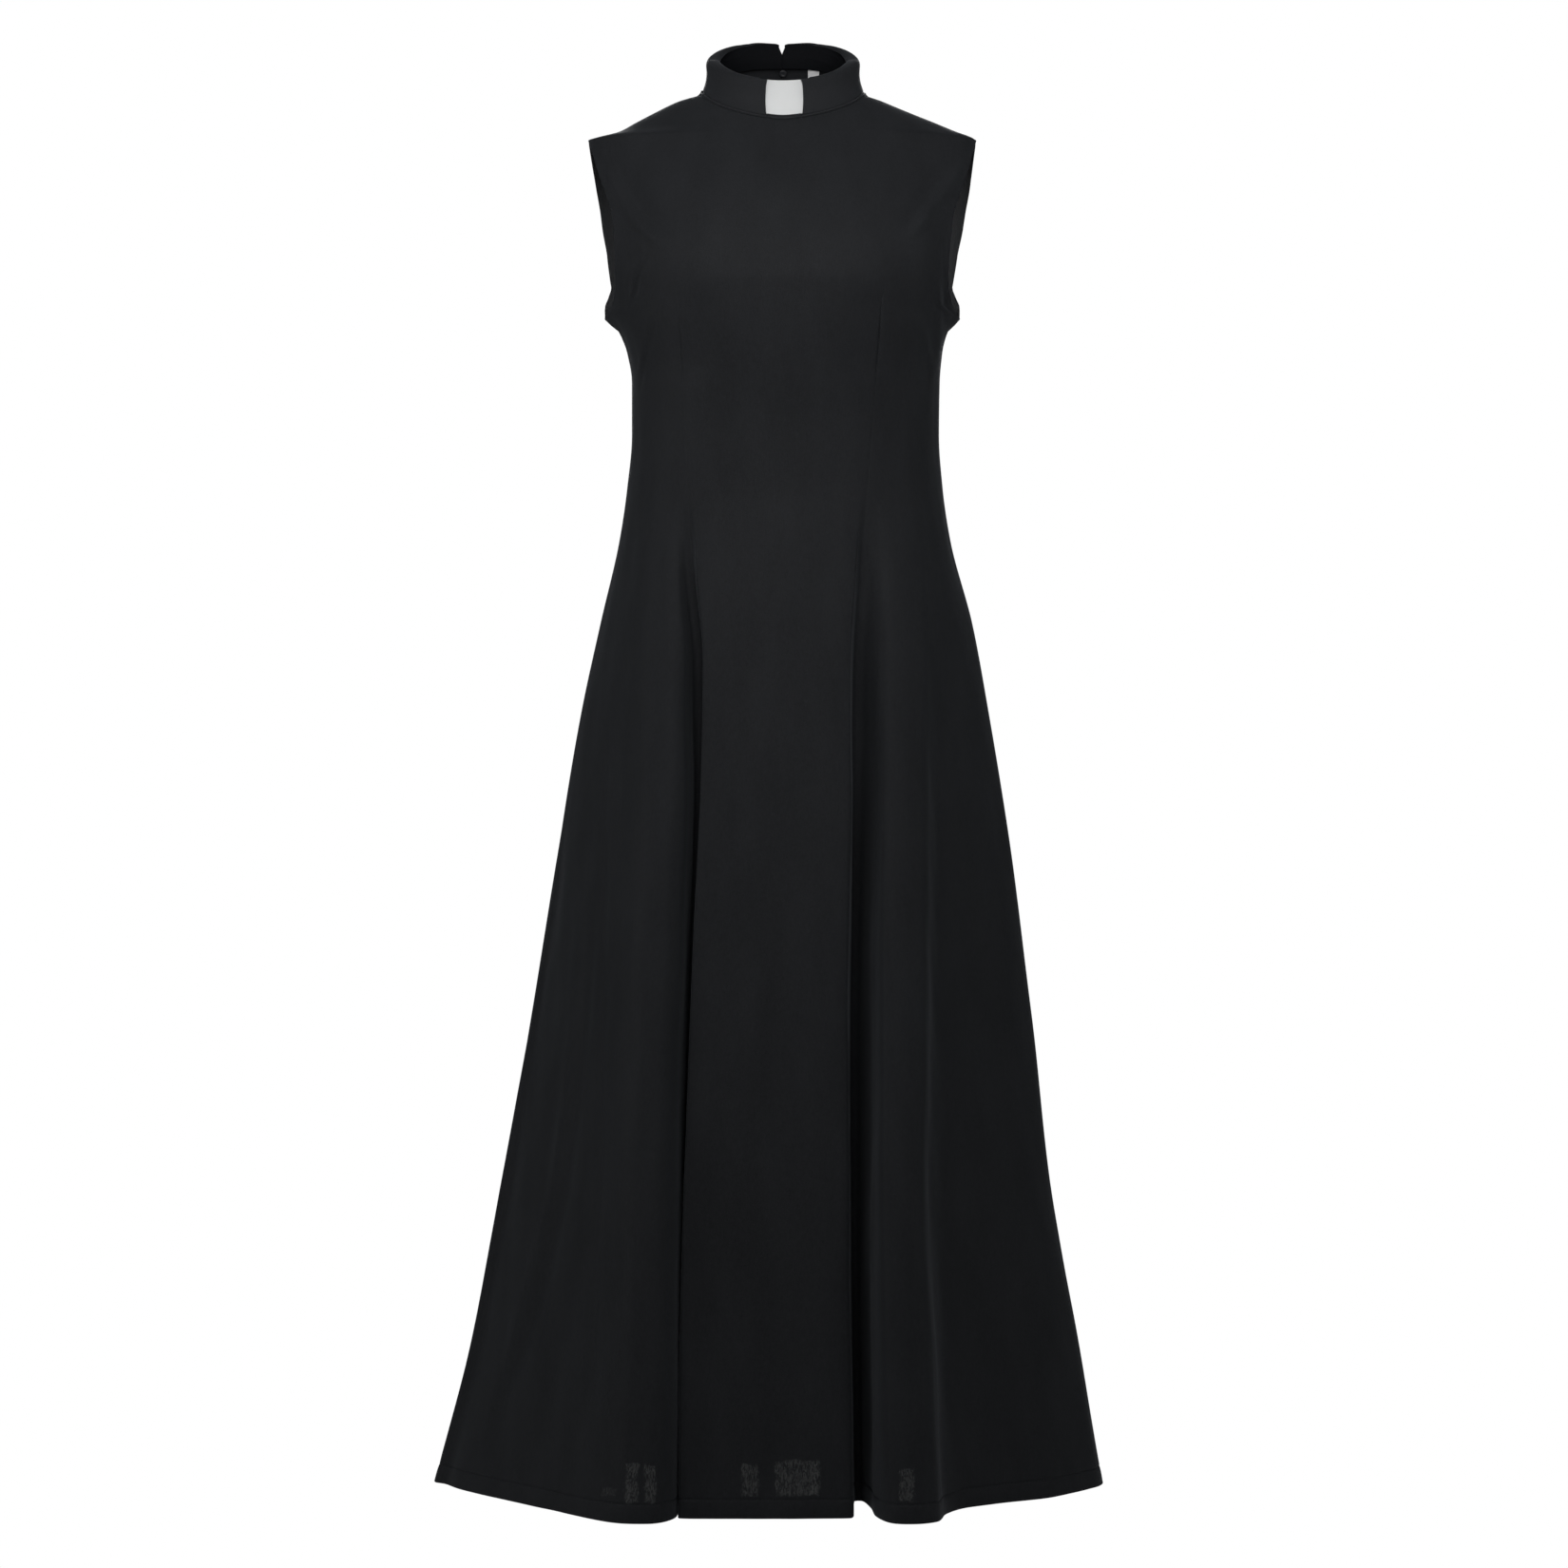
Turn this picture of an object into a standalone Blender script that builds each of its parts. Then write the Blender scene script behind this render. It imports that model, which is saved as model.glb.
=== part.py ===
"""Clergy dress: sleeveless, ankle length, flared, with a stand collar and a white tab.

The dress is worn on no one and keeps its filled form. Metres, +Z up, the front faces -Y.
The origin lies midway between the shoulder seams, where the wearer carries the dress.
"""
import math

import bpy
import bmesh
import numpy as np
from mathutils import Matrix, Vector

# Driving dimensions
COLLECTION_NAME = "clergy_dress"
WALL = 0.0014
SEAM_GAP = 0.0003
SHOULDER_NECK_HEIGHT = 0.0225
BUST_SEAM_TOP = -0.093
FLARE_TOP = -0.335
HEM_HEIGHT = -1.289
FOLD_OPENING_POWER = 2.2
FOLD_SOFT_START = 0.12
SHARP_ANGLE = math.radians(50.0)

# Level rings of the dress: half widths at its sides, depths of its front and back, and how square it is
SECTION_COLUMNS = ("height", "left", "right", "front", "back", "squareness")
SECTIONS = (
    (0.0580, 0.0800, 0.0800, 0.0330, 0.0565, 1.90),
    (0.0400, 0.0800, 0.0800, 0.0400, 0.0665, 1.90),
    (0.0225, 0.0775, 0.0775, 0.0470, 0.0760, 1.90),
    (0.0150, 0.1005, 0.0955, 0.0505, 0.0795, 1.90),
    (0.0060, 0.1195, 0.1170, 0.0545, 0.0835, 1.90),
    (-0.0050, 0.1405, 0.1445, 0.0595, 0.0880, 1.90),
    (-0.0140, 0.1575, 0.1665, 0.0640, 0.0910, 1.90),
    (-0.0185, 0.1745, 0.1790, 0.0665, 0.0926, 1.90),
    (-0.0210, 0.1845, 0.1830, 0.0680, 0.0935, 1.90),
    (-0.0600, 0.1830, 0.1828, 0.0905, 0.1010, 2.10),
    (-0.1000, 0.1792, 0.1785, 0.1100, 0.1040, 2.30),
    (-0.1500, 0.1715, 0.1690, 0.1255, 0.1035, 2.40),
    (-0.1750, 0.1615, 0.1600, 0.1265, 0.1010, 2.40),
    (-0.1900, 0.1565, 0.1550, 0.1245, 0.0990, 2.40),
    (-0.2020, 0.1530, 0.1535, 0.1205, 0.0975, 2.40),
    (-0.2200, 0.1480, 0.1505, 0.1145, 0.0945, 2.35),
    (-0.2500, 0.1430, 0.1480, 0.1060, 0.0910, 2.30),
    (-0.3000, 0.1430, 0.1475, 0.1010, 0.0900, 2.30),
    (-0.3500, 0.1475, 0.1510, 0.1060, 0.0965, 2.30),
    (-0.4000, 0.1548, 0.1584, 0.1140, 0.1050, 2.30),
    (-0.4800, 0.1730, 0.1795, 0.1260, 0.1180, 2.30),
    (-0.5600, 0.1903, 0.1941, 0.1355, 0.1280, 2.30),
    (-0.7000, 0.2146, 0.2160, 0.1530, 0.1460, 2.30),
    (-0.8500, 0.2390, 0.2348, 0.1730, 0.1660, 2.30),
    (-1.0000, 0.2650, 0.2512, 0.1940, 0.1870, 2.30),
    (-1.1500, 0.2930, 0.2778, 0.2155, 0.2090, 2.30),
    (-1.2890, 0.3294, 0.3006, 0.2360, 0.2300, 2.30),
)

# Underarm: how far the cloth below each armhole stands out sideways, fading to the front and back
UNDERARM_FLARE_COLUMNS = ("height", "reach")
UNDERARM_FLARES = (
    (-0.1240, 0.0000),
    (-0.1540, 0.0035),
    (-0.1650, 0.0095),
    (-0.1750, 0.0130),
    (-0.1900, 0.0125),
    (-0.2020, 0.0025),
    (-0.2200, 0.0000),
)
UNDERARM_FLARE_DEPTH = 0.045

# Bust seams: sideways places of the seams in the bodice, and of the centre panel's folded edges in the skirt
BUST_SEAM_COLUMNS = ("height", "left", "right")
BUST_SEAMS = (
    (-0.0935, -0.1601, 0.1597),
    (-0.0970, -0.1520, 0.1510),
    (-0.1050, -0.1420, 0.1400),
    (-0.1200, -0.1270, 0.1235),
    (-0.1400, -0.1135, 0.1080),
    (-0.1580, -0.1045, 0.0985),
    (-0.1790, -0.0985, 0.0925),
    (-0.2200, -0.0955, 0.0895),
    (-0.2600, -0.0930, 0.0860),
    (-0.3450, -0.0895, 0.0790),
    (-0.4330, -0.0850, 0.0720),
    (-0.5210, -0.0770, 0.0660),
    (-0.6080, -0.0775, 0.0643),
    (-0.6950, -0.0800, 0.0624),
    (-0.8670, -0.0870, 0.0600),
    (-1.0380, -0.0918, 0.0600),
    (-1.2890, -0.0939, 0.0625),
)

# Armholes: how far out their front and back edges lie, as a share of the ring's half width
ARMHOLE_COLUMNS = ("height", "front", "back")
ARMHOLES = (
    (-0.0210, 1.000, 1.000),
    (-0.0440, 0.965, 0.986),
    (-0.0630, 0.937, 0.975),
    (-0.0860, 0.903, 0.965),
    (-0.1010, 0.892, 0.964),
    (-0.1240, 0.895, 0.957),
    (-0.1540, 0.918, 0.957),
    (-0.1650, 0.936, 0.972),
    (-0.1750, 0.957, 0.988),
    (-0.1870, 0.990, 0.999),
    (-0.1900, 1.000, 1.000),
)

# Folds: how each panel's cloth spreads across it in the bodice (share), and where it lies at the hem:
# across from its near fold edge to its far side, moved aside in metres, and its depth as a share of the ring's
FOLD_COLUMNS = ("share", "across", "aside", "depth")
BACK_LEFT_FOLDS = (
    (0.000, 0.000, 0.0, 0.880),
    (0.110, 0.100, 0.0, 0.955),
    (0.250, 0.190, 0.0, 0.985),
    (0.400, 0.340, 0.0, 0.780),
    (0.550, 0.500, 0.0, 0.960),
    (0.680, 0.640, 0.0, 0.665),
    (0.820, 0.800, 0.0, 0.600),
    (0.920, 0.930, 0.0, 0.310),
)
SIDE_LEFT_FOLDS = (
    (1.000, 1.000, 0.0, 0.000),
    (0.880, 0.945, 0.0, 0.095),
    (0.760, 0.838, 0.0, 0.272),
    (0.620, 0.595, 0.0, 0.570),
    (0.500, 0.344, 0.0, 0.877),
    (0.400, 0.231, 0.0, 0.979),
    (0.300, 0.130, 0.0, 1.000),
    (0.210, 0.073, 0.0, 0.979),
    (0.150, 0.030, 0.0, 0.915),
    (0.100, 0.000, -0.0014, 0.830),
    (0.060, 0.000, 0.0000, 0.660),
    (0.030, 0.000, -0.0008, 0.500),
)
CENTRE_FOLDS = (
    (-1.000, 0.00, 0.0024, 0.475),
    (-0.985, 0.00, 0.0058, 0.500),
    (-0.960, 0.00, 0.0068, 0.660),
    (-0.935, 0.00, 0.0050, 0.830),
    (-0.910, 0.00, 0.0000, 0.868),
    (-0.860, 0.00, 0.0070, 0.880),
    (-0.550, 0.25, 0.0000, 0.884),
    (0.000, 0.50, 0.0000, 0.888),
    (0.550, 0.75, 0.0000, 0.884),
    (0.860, 1.00, -0.0080, 0.879),
    (0.910, 1.00, 0.0000, 0.862),
    (0.935, 1.00, 0.0008, 0.800),
    (0.960, 1.00, 0.0010, 0.640),
    (0.985, 1.00, 0.0022, 0.510),
)
SIDE_RIGHT_FOLDS = (
    (0.000, 0.000, 0.0064, 0.483),
    (0.030, 0.000, 0.0120, 0.505),
    (0.070, 0.000, 0.0190, 0.660),
    (0.120, 0.000, 0.0215, 0.835),
    (0.200, 0.144, 0.0, 0.979),
    (0.300, 0.232, 0.0, 1.000),
    (0.400, 0.312, 0.0, 0.955),
    (0.450, 0.336, 0.0, 0.890),
    (0.500, 0.346, 0.0, 0.775),
    (0.560, 0.403, 0.0, 0.645),
    (0.700, 0.583, 0.0, 0.534),
    (0.820, 0.780, 0.0, 0.400),
    (0.910, 0.940, 0.0, 0.200),
    (0.960, 0.992, 0.0, 0.105),
)
BACK_RIGHT_FOLDS = (
    (1.000, 0.994, 0.0, 0.000),
    (0.920, 0.930, 0.0, 0.300),
    (0.830, 0.815, 0.0, 0.565),
    (0.700, 0.683, 0.0, 0.600),
    (0.560, 0.527, 0.0, 0.935),
    (0.420, 0.350, 0.0, 0.783),
    (0.270, 0.200, 0.0, 1.000),
    (0.120, 0.100, 0.0, 0.940),
)

# Heights of a panel's cross lines at its outer edge and at its centre line, from the neck down to the underarm
CROSS_LINE_COLUMNS = ("outer", "centre")
FRONT_CROSS_LINES = (
    (0.0225, -0.0110),
    (0.0120, -0.0250),
    (0.0010, -0.0390),
    (-0.0100, -0.0530),
    (-0.0210, -0.0670),
    (-0.0440, -0.0830),
    (-0.0660, -0.0990),
    (-0.0860, -0.1120),
    (-0.0935, -0.1173),
    (-0.0970, -0.1200),
    (-0.1050, -0.1260),
    (-0.1200, -0.1370),
    (-0.1400, -0.1520),
    (-0.1580, -0.1660),
    (-0.1720, -0.1750),
    (-0.1830, -0.1840),
)
BACK_CROSS_LINES = (
    (0.0225, 0.0570),
    (0.0120, 0.0430),
    (0.0010, 0.0275),
    (-0.0100, 0.0120),
    (-0.0210, -0.0040),
    (-0.0440, -0.0280),
    (-0.0660, -0.0520),
    (-0.0950, -0.0820),
    (-0.1240, -0.1140),
    (-0.1480, -0.1440),
    (-0.1660, -0.1640),
    (-0.1800, -0.1800),
)
SKIRT_CROSS_LINES = (
    -0.190, -0.202, -0.220, -0.240, -0.268, -0.300, -0.345, -0.390, -0.440,
    -0.510, -0.590, -0.690, -0.810, -0.940, -1.070, -1.190, -1.289,
)
NECKLINE_FRONT_POWER = 0.8
NECKLINE_BACK_POWER = 1.6
NECKLINE_BACK_EASE = 2.0
NECKLINE_FRONT_FADE = 4
NECKLINE_BACK_FADE = 1

# Collar
COLLAR_WALL = 0.0018
COLLAR_TOP_HALF_WIDTH = 0.0740
COLLAR_TOP_FRONT_DEPTH = 0.0580
COLLAR_TOP_BACK_DEPTH = 0.0585
COLLAR_TOP_SIDE_HEIGHT = 0.0555
COLLAR_TOP_FRONT_DROP = 0.0290
COLLAR_TOP_BACK_RISE = 0.0240
COLLAR_FRONT_DROP_POWER = 1.4
COLLAR_BACK_RISE_POWER = 1.25
COLLAR_WAIST = 0.0030
COLLAR_LEAN = 0.0120
COLLAR_LEAN_START = 0.78
COLLAR_LEAN_POWER = 2.6
COLLAR_ROLL_RISE = 0.0030
COLLAR_BACK_HALF_GAP = 0.0006
COLLAR_BACK_OFFSET = -0.0012
COLLAR_NOTCH_HALF_WIDTH = 0.0040
COLLAR_NOTCH_START = 0.60
COLLAR_NOTCH_POWER = 0.8
COLLAR_END_COLUMN = 1.5
BAND_WALL = 0.0013
WINDOW_CENTRE = 0.0012
WINDOW_HALF_WIDTH = 0.0173
WINDOW_BULGE = 0.0022
TAB_HALF_WIDTH = 0.0215
TAB_WALL = 0.0009
TAB_FOOT_SHARE = 0.16

# Heights of the collar pieces' rows, as shares of the collar's height
COLLAR_UPS = (1.0, 0.955, 0.91, 0.85, 0.76, 0.4, 0.0)
BAND_UPS = (0.985, 0.94, 0.89, 0.82, 0.7, 0.35, 0.0)
TAB_UPS = (1.0, 0.72, 0.44, TAB_FOOT_SHARE)

# Back zip, button and label
ZIP_TOP_ROW_HEIGHT = 0.044
ZIP_LENGTH = 0.52
TAPE_WALL = 0.0008
TAPE_COLUMNS = 2
SLIDER_HEIGHT = 0.030
SLIDER_SIZE = (0.0050, 0.0080, 0.0020)
BRIDGE_WIDTH = 0.0014
BRIDGE_THICKNESS = 0.0008
BRIDGE_CLEARANCE = 0.0003
BRIDGE_BAR_CLEARANCE = 0.0005
BRIDGE_LOWER_LEG = 0.0026
BRIDGE_BAR_INSET = 0.0001
SLIDER_LEAD = 0.0010
WELD_DISTANCE = 0.00001
BOX_OVERLAP = 0.0002
PULL_BAR = 0.0010
PULL_SIZE = (0.0062, 0.0190, 0.0010)
PULL_WINDOW = (0.0028, 0.0035)
PULL_HEAD_SHARE = 0.36
PULL_NECK_SHARE = 0.40
PULL_WIDEST_SHARE = 0.50
PULL_TIP_SHARE = 0.38
PULL_WIDEST_PLACE = 0.72
PULL_TIP_PLACE = 0.92
BUTTON_HEIGHT = 0.0536
BUTTON_RADIUS = 0.0034
BUTTON_THICKNESS = 0.0020
BUTTON_TAPER = 0.88
LABEL_TURN = 156.0
LABEL_WIDTH_TURN = 8.5
LABEL_DROP = 0.0115
LABEL_WALL = 0.0006

# Finishes: colour, roughness, metallic value
CLOTH_FINISH = ((0.0185, 0.0195, 0.0215, 1.0), 0.62, 0.0)
TAB_FINISH = ((0.69, 0.70, 0.70, 1.0), 0.45, 0.0)
LABEL_FINISH = ((0.72, 0.72, 0.72, 1.0), 0.80, 0.0)
BUTTON_FINISH = ((0.020, 0.021, 0.024, 1.0), 0.35, 0.0)
ZIP_METAL_FINISH = ((0.030, 0.031, 0.034, 1.0), 0.38, 0.9)


def read_table(columns, rows):
    """Turns a table's rows into one array for each named column."""
    return {name: np.array([row[place] for row in rows]) for place, name in enumerate(columns)}


def smooth_curve(knots, values, at):
    """Reads a smooth curve through the knots, which rise, without passing beyond any value."""
    steps = np.diff(knots)
    slopes = np.diff(values) / steps
    tangents = np.zeros(len(knots))
    same_way = slopes[:-1] * slopes[1:] > 0
    harmonic = 2.0 * slopes[:-1] * slopes[1:] / np.where(same_way, slopes[:-1] + slopes[1:], 1.0)
    tangents[1:-1] = np.where(same_way, harmonic, 0.0)
    tangents[0] = slopes[0]
    tangents[-1] = slopes[-1]
    place = np.clip(np.searchsorted(knots, at, side="right") - 1, 0, len(steps) - 1)
    step = steps[place]
    t = np.clip((at - knots[place]) / step, 0.0, 1.0)
    start = (1 + 2 * t) * (1 - t) ** 2 * values[place] + t * (1 - t) ** 2 * step * tangents[place]
    end = t ** 2 * (3 - 2 * t) * values[place + 1] + t ** 2 * (t - 1) * step * tangents[place + 1]
    return start + end


def by_height(table, name, height):
    """Reads a column of a table whose rows run downwards."""
    return smooth_curve(table["height"][::-1], table[name][::-1], np.asarray(height, dtype=float))


SECTION_TABLE = read_table(SECTION_COLUMNS, SECTIONS)
BUST_SEAM_TABLE = read_table(BUST_SEAM_COLUMNS, BUST_SEAMS)
ARMHOLE_TABLE = read_table(ARMHOLE_COLUMNS, ARMHOLES)
UNDERARM_FLARE_TABLE = read_table(UNDERARM_FLARE_COLUMNS, UNDERARM_FLARES)

# The ring runs from the centre back round the left, the front and the right to the centre back again
PANEL_FOLDS = (
    ("back_left", BACK_LEFT_FOLDS),
    ("side_front_left", SIDE_LEFT_FOLDS),
    ("front_centre", CENTRE_FOLDS),
    ("side_front_right", SIDE_RIGHT_FOLDS),
    ("back_right", BACK_RIGHT_FOLDS),
)


# The share at which each panel ends, where the next panel's guides begin, and the widest of its columns
PANEL_FAR_SHARE = {"back_left": 1.0, "side_front_left": 0.0, "front_centre": 1.0, "side_front_right": 1.0,
                   "back_right": 0.0}
TURN_STEP = 0.4
PLACE_STEP = 0.02
HEIGHT_STEP = 0.001
WIDEST_COLUMN = {"back_left": 0.065, "side_front_left": 0.071, "front_centre": 0.115,
                 "side_front_right": 0.071, "back_right": 0.065}


def panel_starts():
    """Gives each panel's first guide in the ring of guides, and the ring's length."""
    starts = {}
    count = 0
    for name, rows in PANEL_FOLDS:
        starts[name] = count
        count += len(rows)
    return starts, count


PANEL_START, GUIDE_COUNT = panel_starts()


def half_width(height, side):
    """Half width of the level ring on one side, -1 for the left and 1 for the right."""
    left = by_height(SECTION_TABLE, "left", height)
    right = by_height(SECTION_TABLE, "right", height)
    return np.where(np.asarray(side) < 0, left, right)


def turn_at(sideways, height):
    """Turn from the front centre, in degrees, at which the level ring has this sideways place."""
    share = np.abs(sideways) / half_width(height, np.sign(sideways))
    power = by_height(SECTION_TABLE, "squareness", height) / 2.0
    return np.sign(sideways) * np.degrees(np.arcsin(np.clip(share, 0.0, 1.0) ** power))


def body_point(turn, height):
    """Point of the smooth form at a turn from the front centre, with no skirt folds."""
    turn, height = np.broadcast_arrays(np.asarray(turn, dtype=float), np.asarray(height, dtype=float))
    angle = np.radians(turn)
    power = 2.0 / by_height(SECTION_TABLE, "squareness", height)
    sine = np.sin(angle)
    cosine = np.cos(angle)
    front = by_height(SECTION_TABLE, "front", height)
    back = by_height(SECTION_TABLE, "back", height)
    depth = np.where(cosine > 0, front, back)
    across = np.sign(sine) * half_width(height, sine) * np.abs(sine) ** power
    along = -np.sign(cosine) * depth * np.abs(cosine) ** power
    reach = np.where(height < UNDERARM_FLARES[-1][0], 0.0, by_height(UNDERARM_FLARE_TABLE, "reach", height))
    across = across + np.sign(sine) * reach * np.exp(-(along / UNDERARM_FLARE_DEPTH) ** 2)
    return np.stack([across, along, height], axis=-1)


def seam_turns(height):
    """Turns of the five seams at a height, from the centre back round the left side."""
    left = turn_at(by_height(BUST_SEAM_TABLE, "left", height), height)
    right = turn_at(by_height(BUST_SEAM_TABLE, "right", height), height)
    return left, right


def fold_opening(height):
    """How far the skirt's folds have opened: 0 above the flare, 1 at the hem."""
    drop = np.clip((FLARE_TOP - np.asarray(height, dtype=float)) / (FLARE_TOP - HEM_HEIGHT), 0.0, 1.0)
    soft = np.clip(drop / FOLD_SOFT_START, 0.0, 1.0)
    return (1.0 - (1.0 - drop) ** FOLD_OPENING_POWER) * soft * soft * (3.0 - 2.0 * soft)


def guide_points(guide, height):
    """Turn on the smooth form, and place in the folded skirt, of one guide of the ring at each height."""
    guide = guide % GUIDE_COUNT
    name = [panel for panel, _ in PANEL_FOLDS if PANEL_START[panel] <= guide][-1]
    share, across, aside, depth = dict(PANEL_FOLDS)[name][guide - PANEL_START[name]]
    seam_left, seam_right = seam_turns(height)
    fold_left = by_height(BUST_SEAM_TABLE, "left", height)
    fold_right = by_height(BUST_SEAM_TABLE, "right", height)
    left = half_width(height, -1)
    right = half_width(height, 1)
    front = by_height(SECTION_TABLE, "front", height)
    back = by_height(SECTION_TABLE, "back", height)
    if name == "back_left":
        return -180.0 + 90.0 * share + 0 * height, -left * across + aside, back * depth
    if name == "back_right":
        return 180.0 - 90.0 * share + 0 * height, right * across + aside, back * depth
    if name == "side_front_left":
        turn = seam_left + (-90.0 - seam_left) * share
        return turn, fold_left - (left + fold_left) * across + aside, -front * depth
    if name == "side_front_right":
        turn = seam_right + (90.0 - seam_right) * share
        return turn, fold_right + (right - fold_right) * across + aside, -front * depth
    turn = seam_left + (seam_right - seam_left) * (share + 1.0) / 2.0
    return turn, fold_left + (fold_right - fold_left) * across + aside, -front * depth


def ring_point(ring_place, height):
    """Point of the dress at places along the ring of guides, below the underarm."""
    ring_place, height = np.broadcast_arrays(np.asarray(ring_place, dtype=float), np.asarray(height, dtype=float))
    turns = np.empty((GUIDE_COUNT + 3,) + height.shape)
    across = np.empty_like(turns)
    along = np.empty_like(turns)
    for guide in range(-1, GUIDE_COUNT + 2):
        laps = 360.0 * math.floor(guide / GUIDE_COUNT)
        turn, x, y = guide_points(guide, height)
        turns[guide + 1] = turn + laps
        across[guide + 1] = x
        along[guide + 1] = y
    first = np.clip(np.floor(ring_place).astype(int), 0, GUIDE_COUNT - 1)
    t = ring_place - first

    def between(values):
        before, start, end, after = (np.take_along_axis(values, (first + k)[None], axis=0)[0] for k in range(4))
        curve = 2 * start + (end - before) * t
        curve += (2 * before - 5 * start + 4 * end - after) * t ** 2
        curve += (3 * start - before - 3 * end + after) * t ** 3
        return curve / 2.0

    smooth = body_point(between(turns), height)
    folded = np.stack([between(across), between(along), height], axis=-1)
    opening = fold_opening(height)[..., None]
    return smooth + (folded - smooth) * opening


def outward(point_at, first, height, first_step, height_step=HEIGHT_STEP):
    """Unit directions out of the cloth, from small steps both ways over its surface."""
    round_step = point_at(first + first_step, height) - point_at(first - first_step, height)
    down_step = point_at(first, height - height_step) - point_at(first, height + height_step)
    direction = np.cross(down_step, round_step)
    return direction / np.linalg.norm(direction, axis=-1, keepdims=True)


def panel_columns(name):
    """Places of a panel's columns along the ring of guides, and how far across the panel each one lies."""
    rows = dict(PANEL_FOLDS)[name]
    shares = [row[0] for row in rows] + [PANEL_FAR_SHARE[name]]
    places = []
    for guide in range(len(rows)):
        steps = math.ceil(abs(shares[guide + 1] - shares[guide]) / WIDEST_COLUMN[name])
        places += [guide + step / steps for step in range(steps)]
    places = np.array(places + [float(len(rows))])
    return PANEL_START[name] + places, np.interp(places, np.arange(len(shares)), shares)


def upper_edge(part, height, side):
    """Half width of the front or back panel at one side: at its shoulder, armhole or bust seam."""
    width = half_width(height, side)
    if height >= ARMHOLES[0][0]:
        return width
    if part == "front" and height < BUST_SEAM_TOP:
        name = "left" if side < 0 else "right"
        return np.abs(by_height(BUST_SEAM_TABLE, name, height))
    return width * by_height(ARMHOLE_TABLE, part, height)


def neck_rise(cosine, in_front):
    """Share of the way from the neckline's centre to its side, flatter across the back than the front."""
    power = np.where(in_front, NECKLINE_FRONT_POWER, NECKLINE_BACK_POWER)
    ease = np.where(in_front, 1.0, NECKLINE_BACK_EASE)
    return 1.0 - (1.0 - (1.0 - np.abs(cosine)) ** power) ** ease


def cross_line(part, outer, centre, shares, neckness):
    """Turns and heights along one cross line of a front or back panel, more like the neckline near it."""
    sides = np.where(shares < 0, -1.0, 1.0)
    power = 2.0 / by_height(SECTION_TABLE, "squareness", outer)
    reach = np.where(sides < 0, upper_edge(part, outer, -1), upper_edge(part, outer, 1))
    reach_turn = np.radians(np.abs(turn_at(sides * reach, outer)))
    across = (np.sin(np.abs(shares) * reach_turn) / np.sin(reach_turn)) ** power
    level_rise = across * across * (3.0 - 2.0 * across)
    rise = neckness * neck_rise(np.cos(shares * math.pi / 2.0), part == "front") + (1.0 - neckness) * level_rise
    heights = centre + (outer - centre) * rise
    turns = turn_at(sides * reach * across, heights)
    if part == "back":
        turns = sides * (180.0 - np.abs(turns))
    return turns, heights


def body_rows(part, lines, shares):
    """Points and outward directions of a front or back panel's rows above the underarm."""
    points = []
    directions = []
    for place, (outer, centre) in enumerate(lines):
        fade = NECKLINE_FRONT_FADE if part == "front" else NECKLINE_BACK_FADE
        neckness = max(0.0, 1.0 - place / fade)
        turns, heights = cross_line(part, outer, centre, shares, neckness)
        points.append(body_point(turns, heights))
        directions.append(outward(body_point, turns, heights, TURN_STEP))
    return points, directions


def side_rows(name, shares):
    """Points and outward directions of a side-front panel's rows between its seam and the armhole."""
    side = -1 if name.endswith("left") else 1
    points = []
    directions = []
    for outer, _ in FRONT_CROSS_LINES:
        if outer >= BUST_SEAM_TOP:
            continue
        seam_left, seam_right = seam_turns(outer)
        seam = seam_left if side < 0 else seam_right
        edge = turn_at(side * half_width(outer, side) * by_height(ARMHOLE_TABLE, "front", outer), outer)
        turns = seam + (edge - seam) * shares
        heights = np.full(len(shares), outer)
        points.append(body_point(turns, heights))
        directions.append(outward(body_point, turns, heights, TURN_STEP))
    return points, directions


def panel_grid(name):
    """The whole panel as rows of points on its outer face, with the outward direction at each."""
    stations, shares = panel_columns(name)
    if name == "front_centre":
        points, directions = body_rows("front", FRONT_CROSS_LINES, shares)
    elif name == "back_left":
        points, directions = body_rows("back", BACK_CROSS_LINES, -shares)
    elif name == "back_right":
        points, directions = body_rows("back", BACK_CROSS_LINES, shares)
    else:
        points, directions = side_rows(name, shares)
    places, heights = np.meshgrid(stations, SKIRT_CROSS_LINES)
    points = np.concatenate([points, ring_point(places, heights)])
    directions = np.concatenate([directions, outward(ring_point, places, heights, PLACE_STEP)])
    return points, directions


def trim_sides(points, half_gap):
    """Draws the first and last columns in along their rows, to leave the gap of a seam."""
    trimmed = points.copy()
    for edge, inner in ((0, 1), (-1, -2)):
        step = points[:, inner] - points[:, edge]
        trimmed[:, edge] += step / np.linalg.norm(step, axis=-1, keepdims=True) * half_gap
    return trimmed


def linked_object(name, mesh, finish):
    """Puts a mesh in the dress's collection with its own material."""
    material = bpy.data.materials.new(name + "_finish")
    material.use_nodes = True
    shader = material.node_tree.nodes["Principled BSDF"]
    colour, roughness, metallic = finish
    shader.inputs["Base Color"].default_value = colour
    shader.inputs["Roughness"].default_value = roughness
    shader.inputs["Metallic"].default_value = metallic
    material.diffuse_color = colour
    mesh.materials.append(material)
    made = bpy.data.objects.new(name, mesh)
    bpy.data.collections[COLLECTION_NAME].objects.link(made)
    return made


def round_off_shading(mesh):
    """Shades a mesh smooth, and leaves its square edges sharp."""
    mesh.shade_smooth()
    mesh.set_sharp_from_angle(angle=SHARP_ANGLE)


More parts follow.
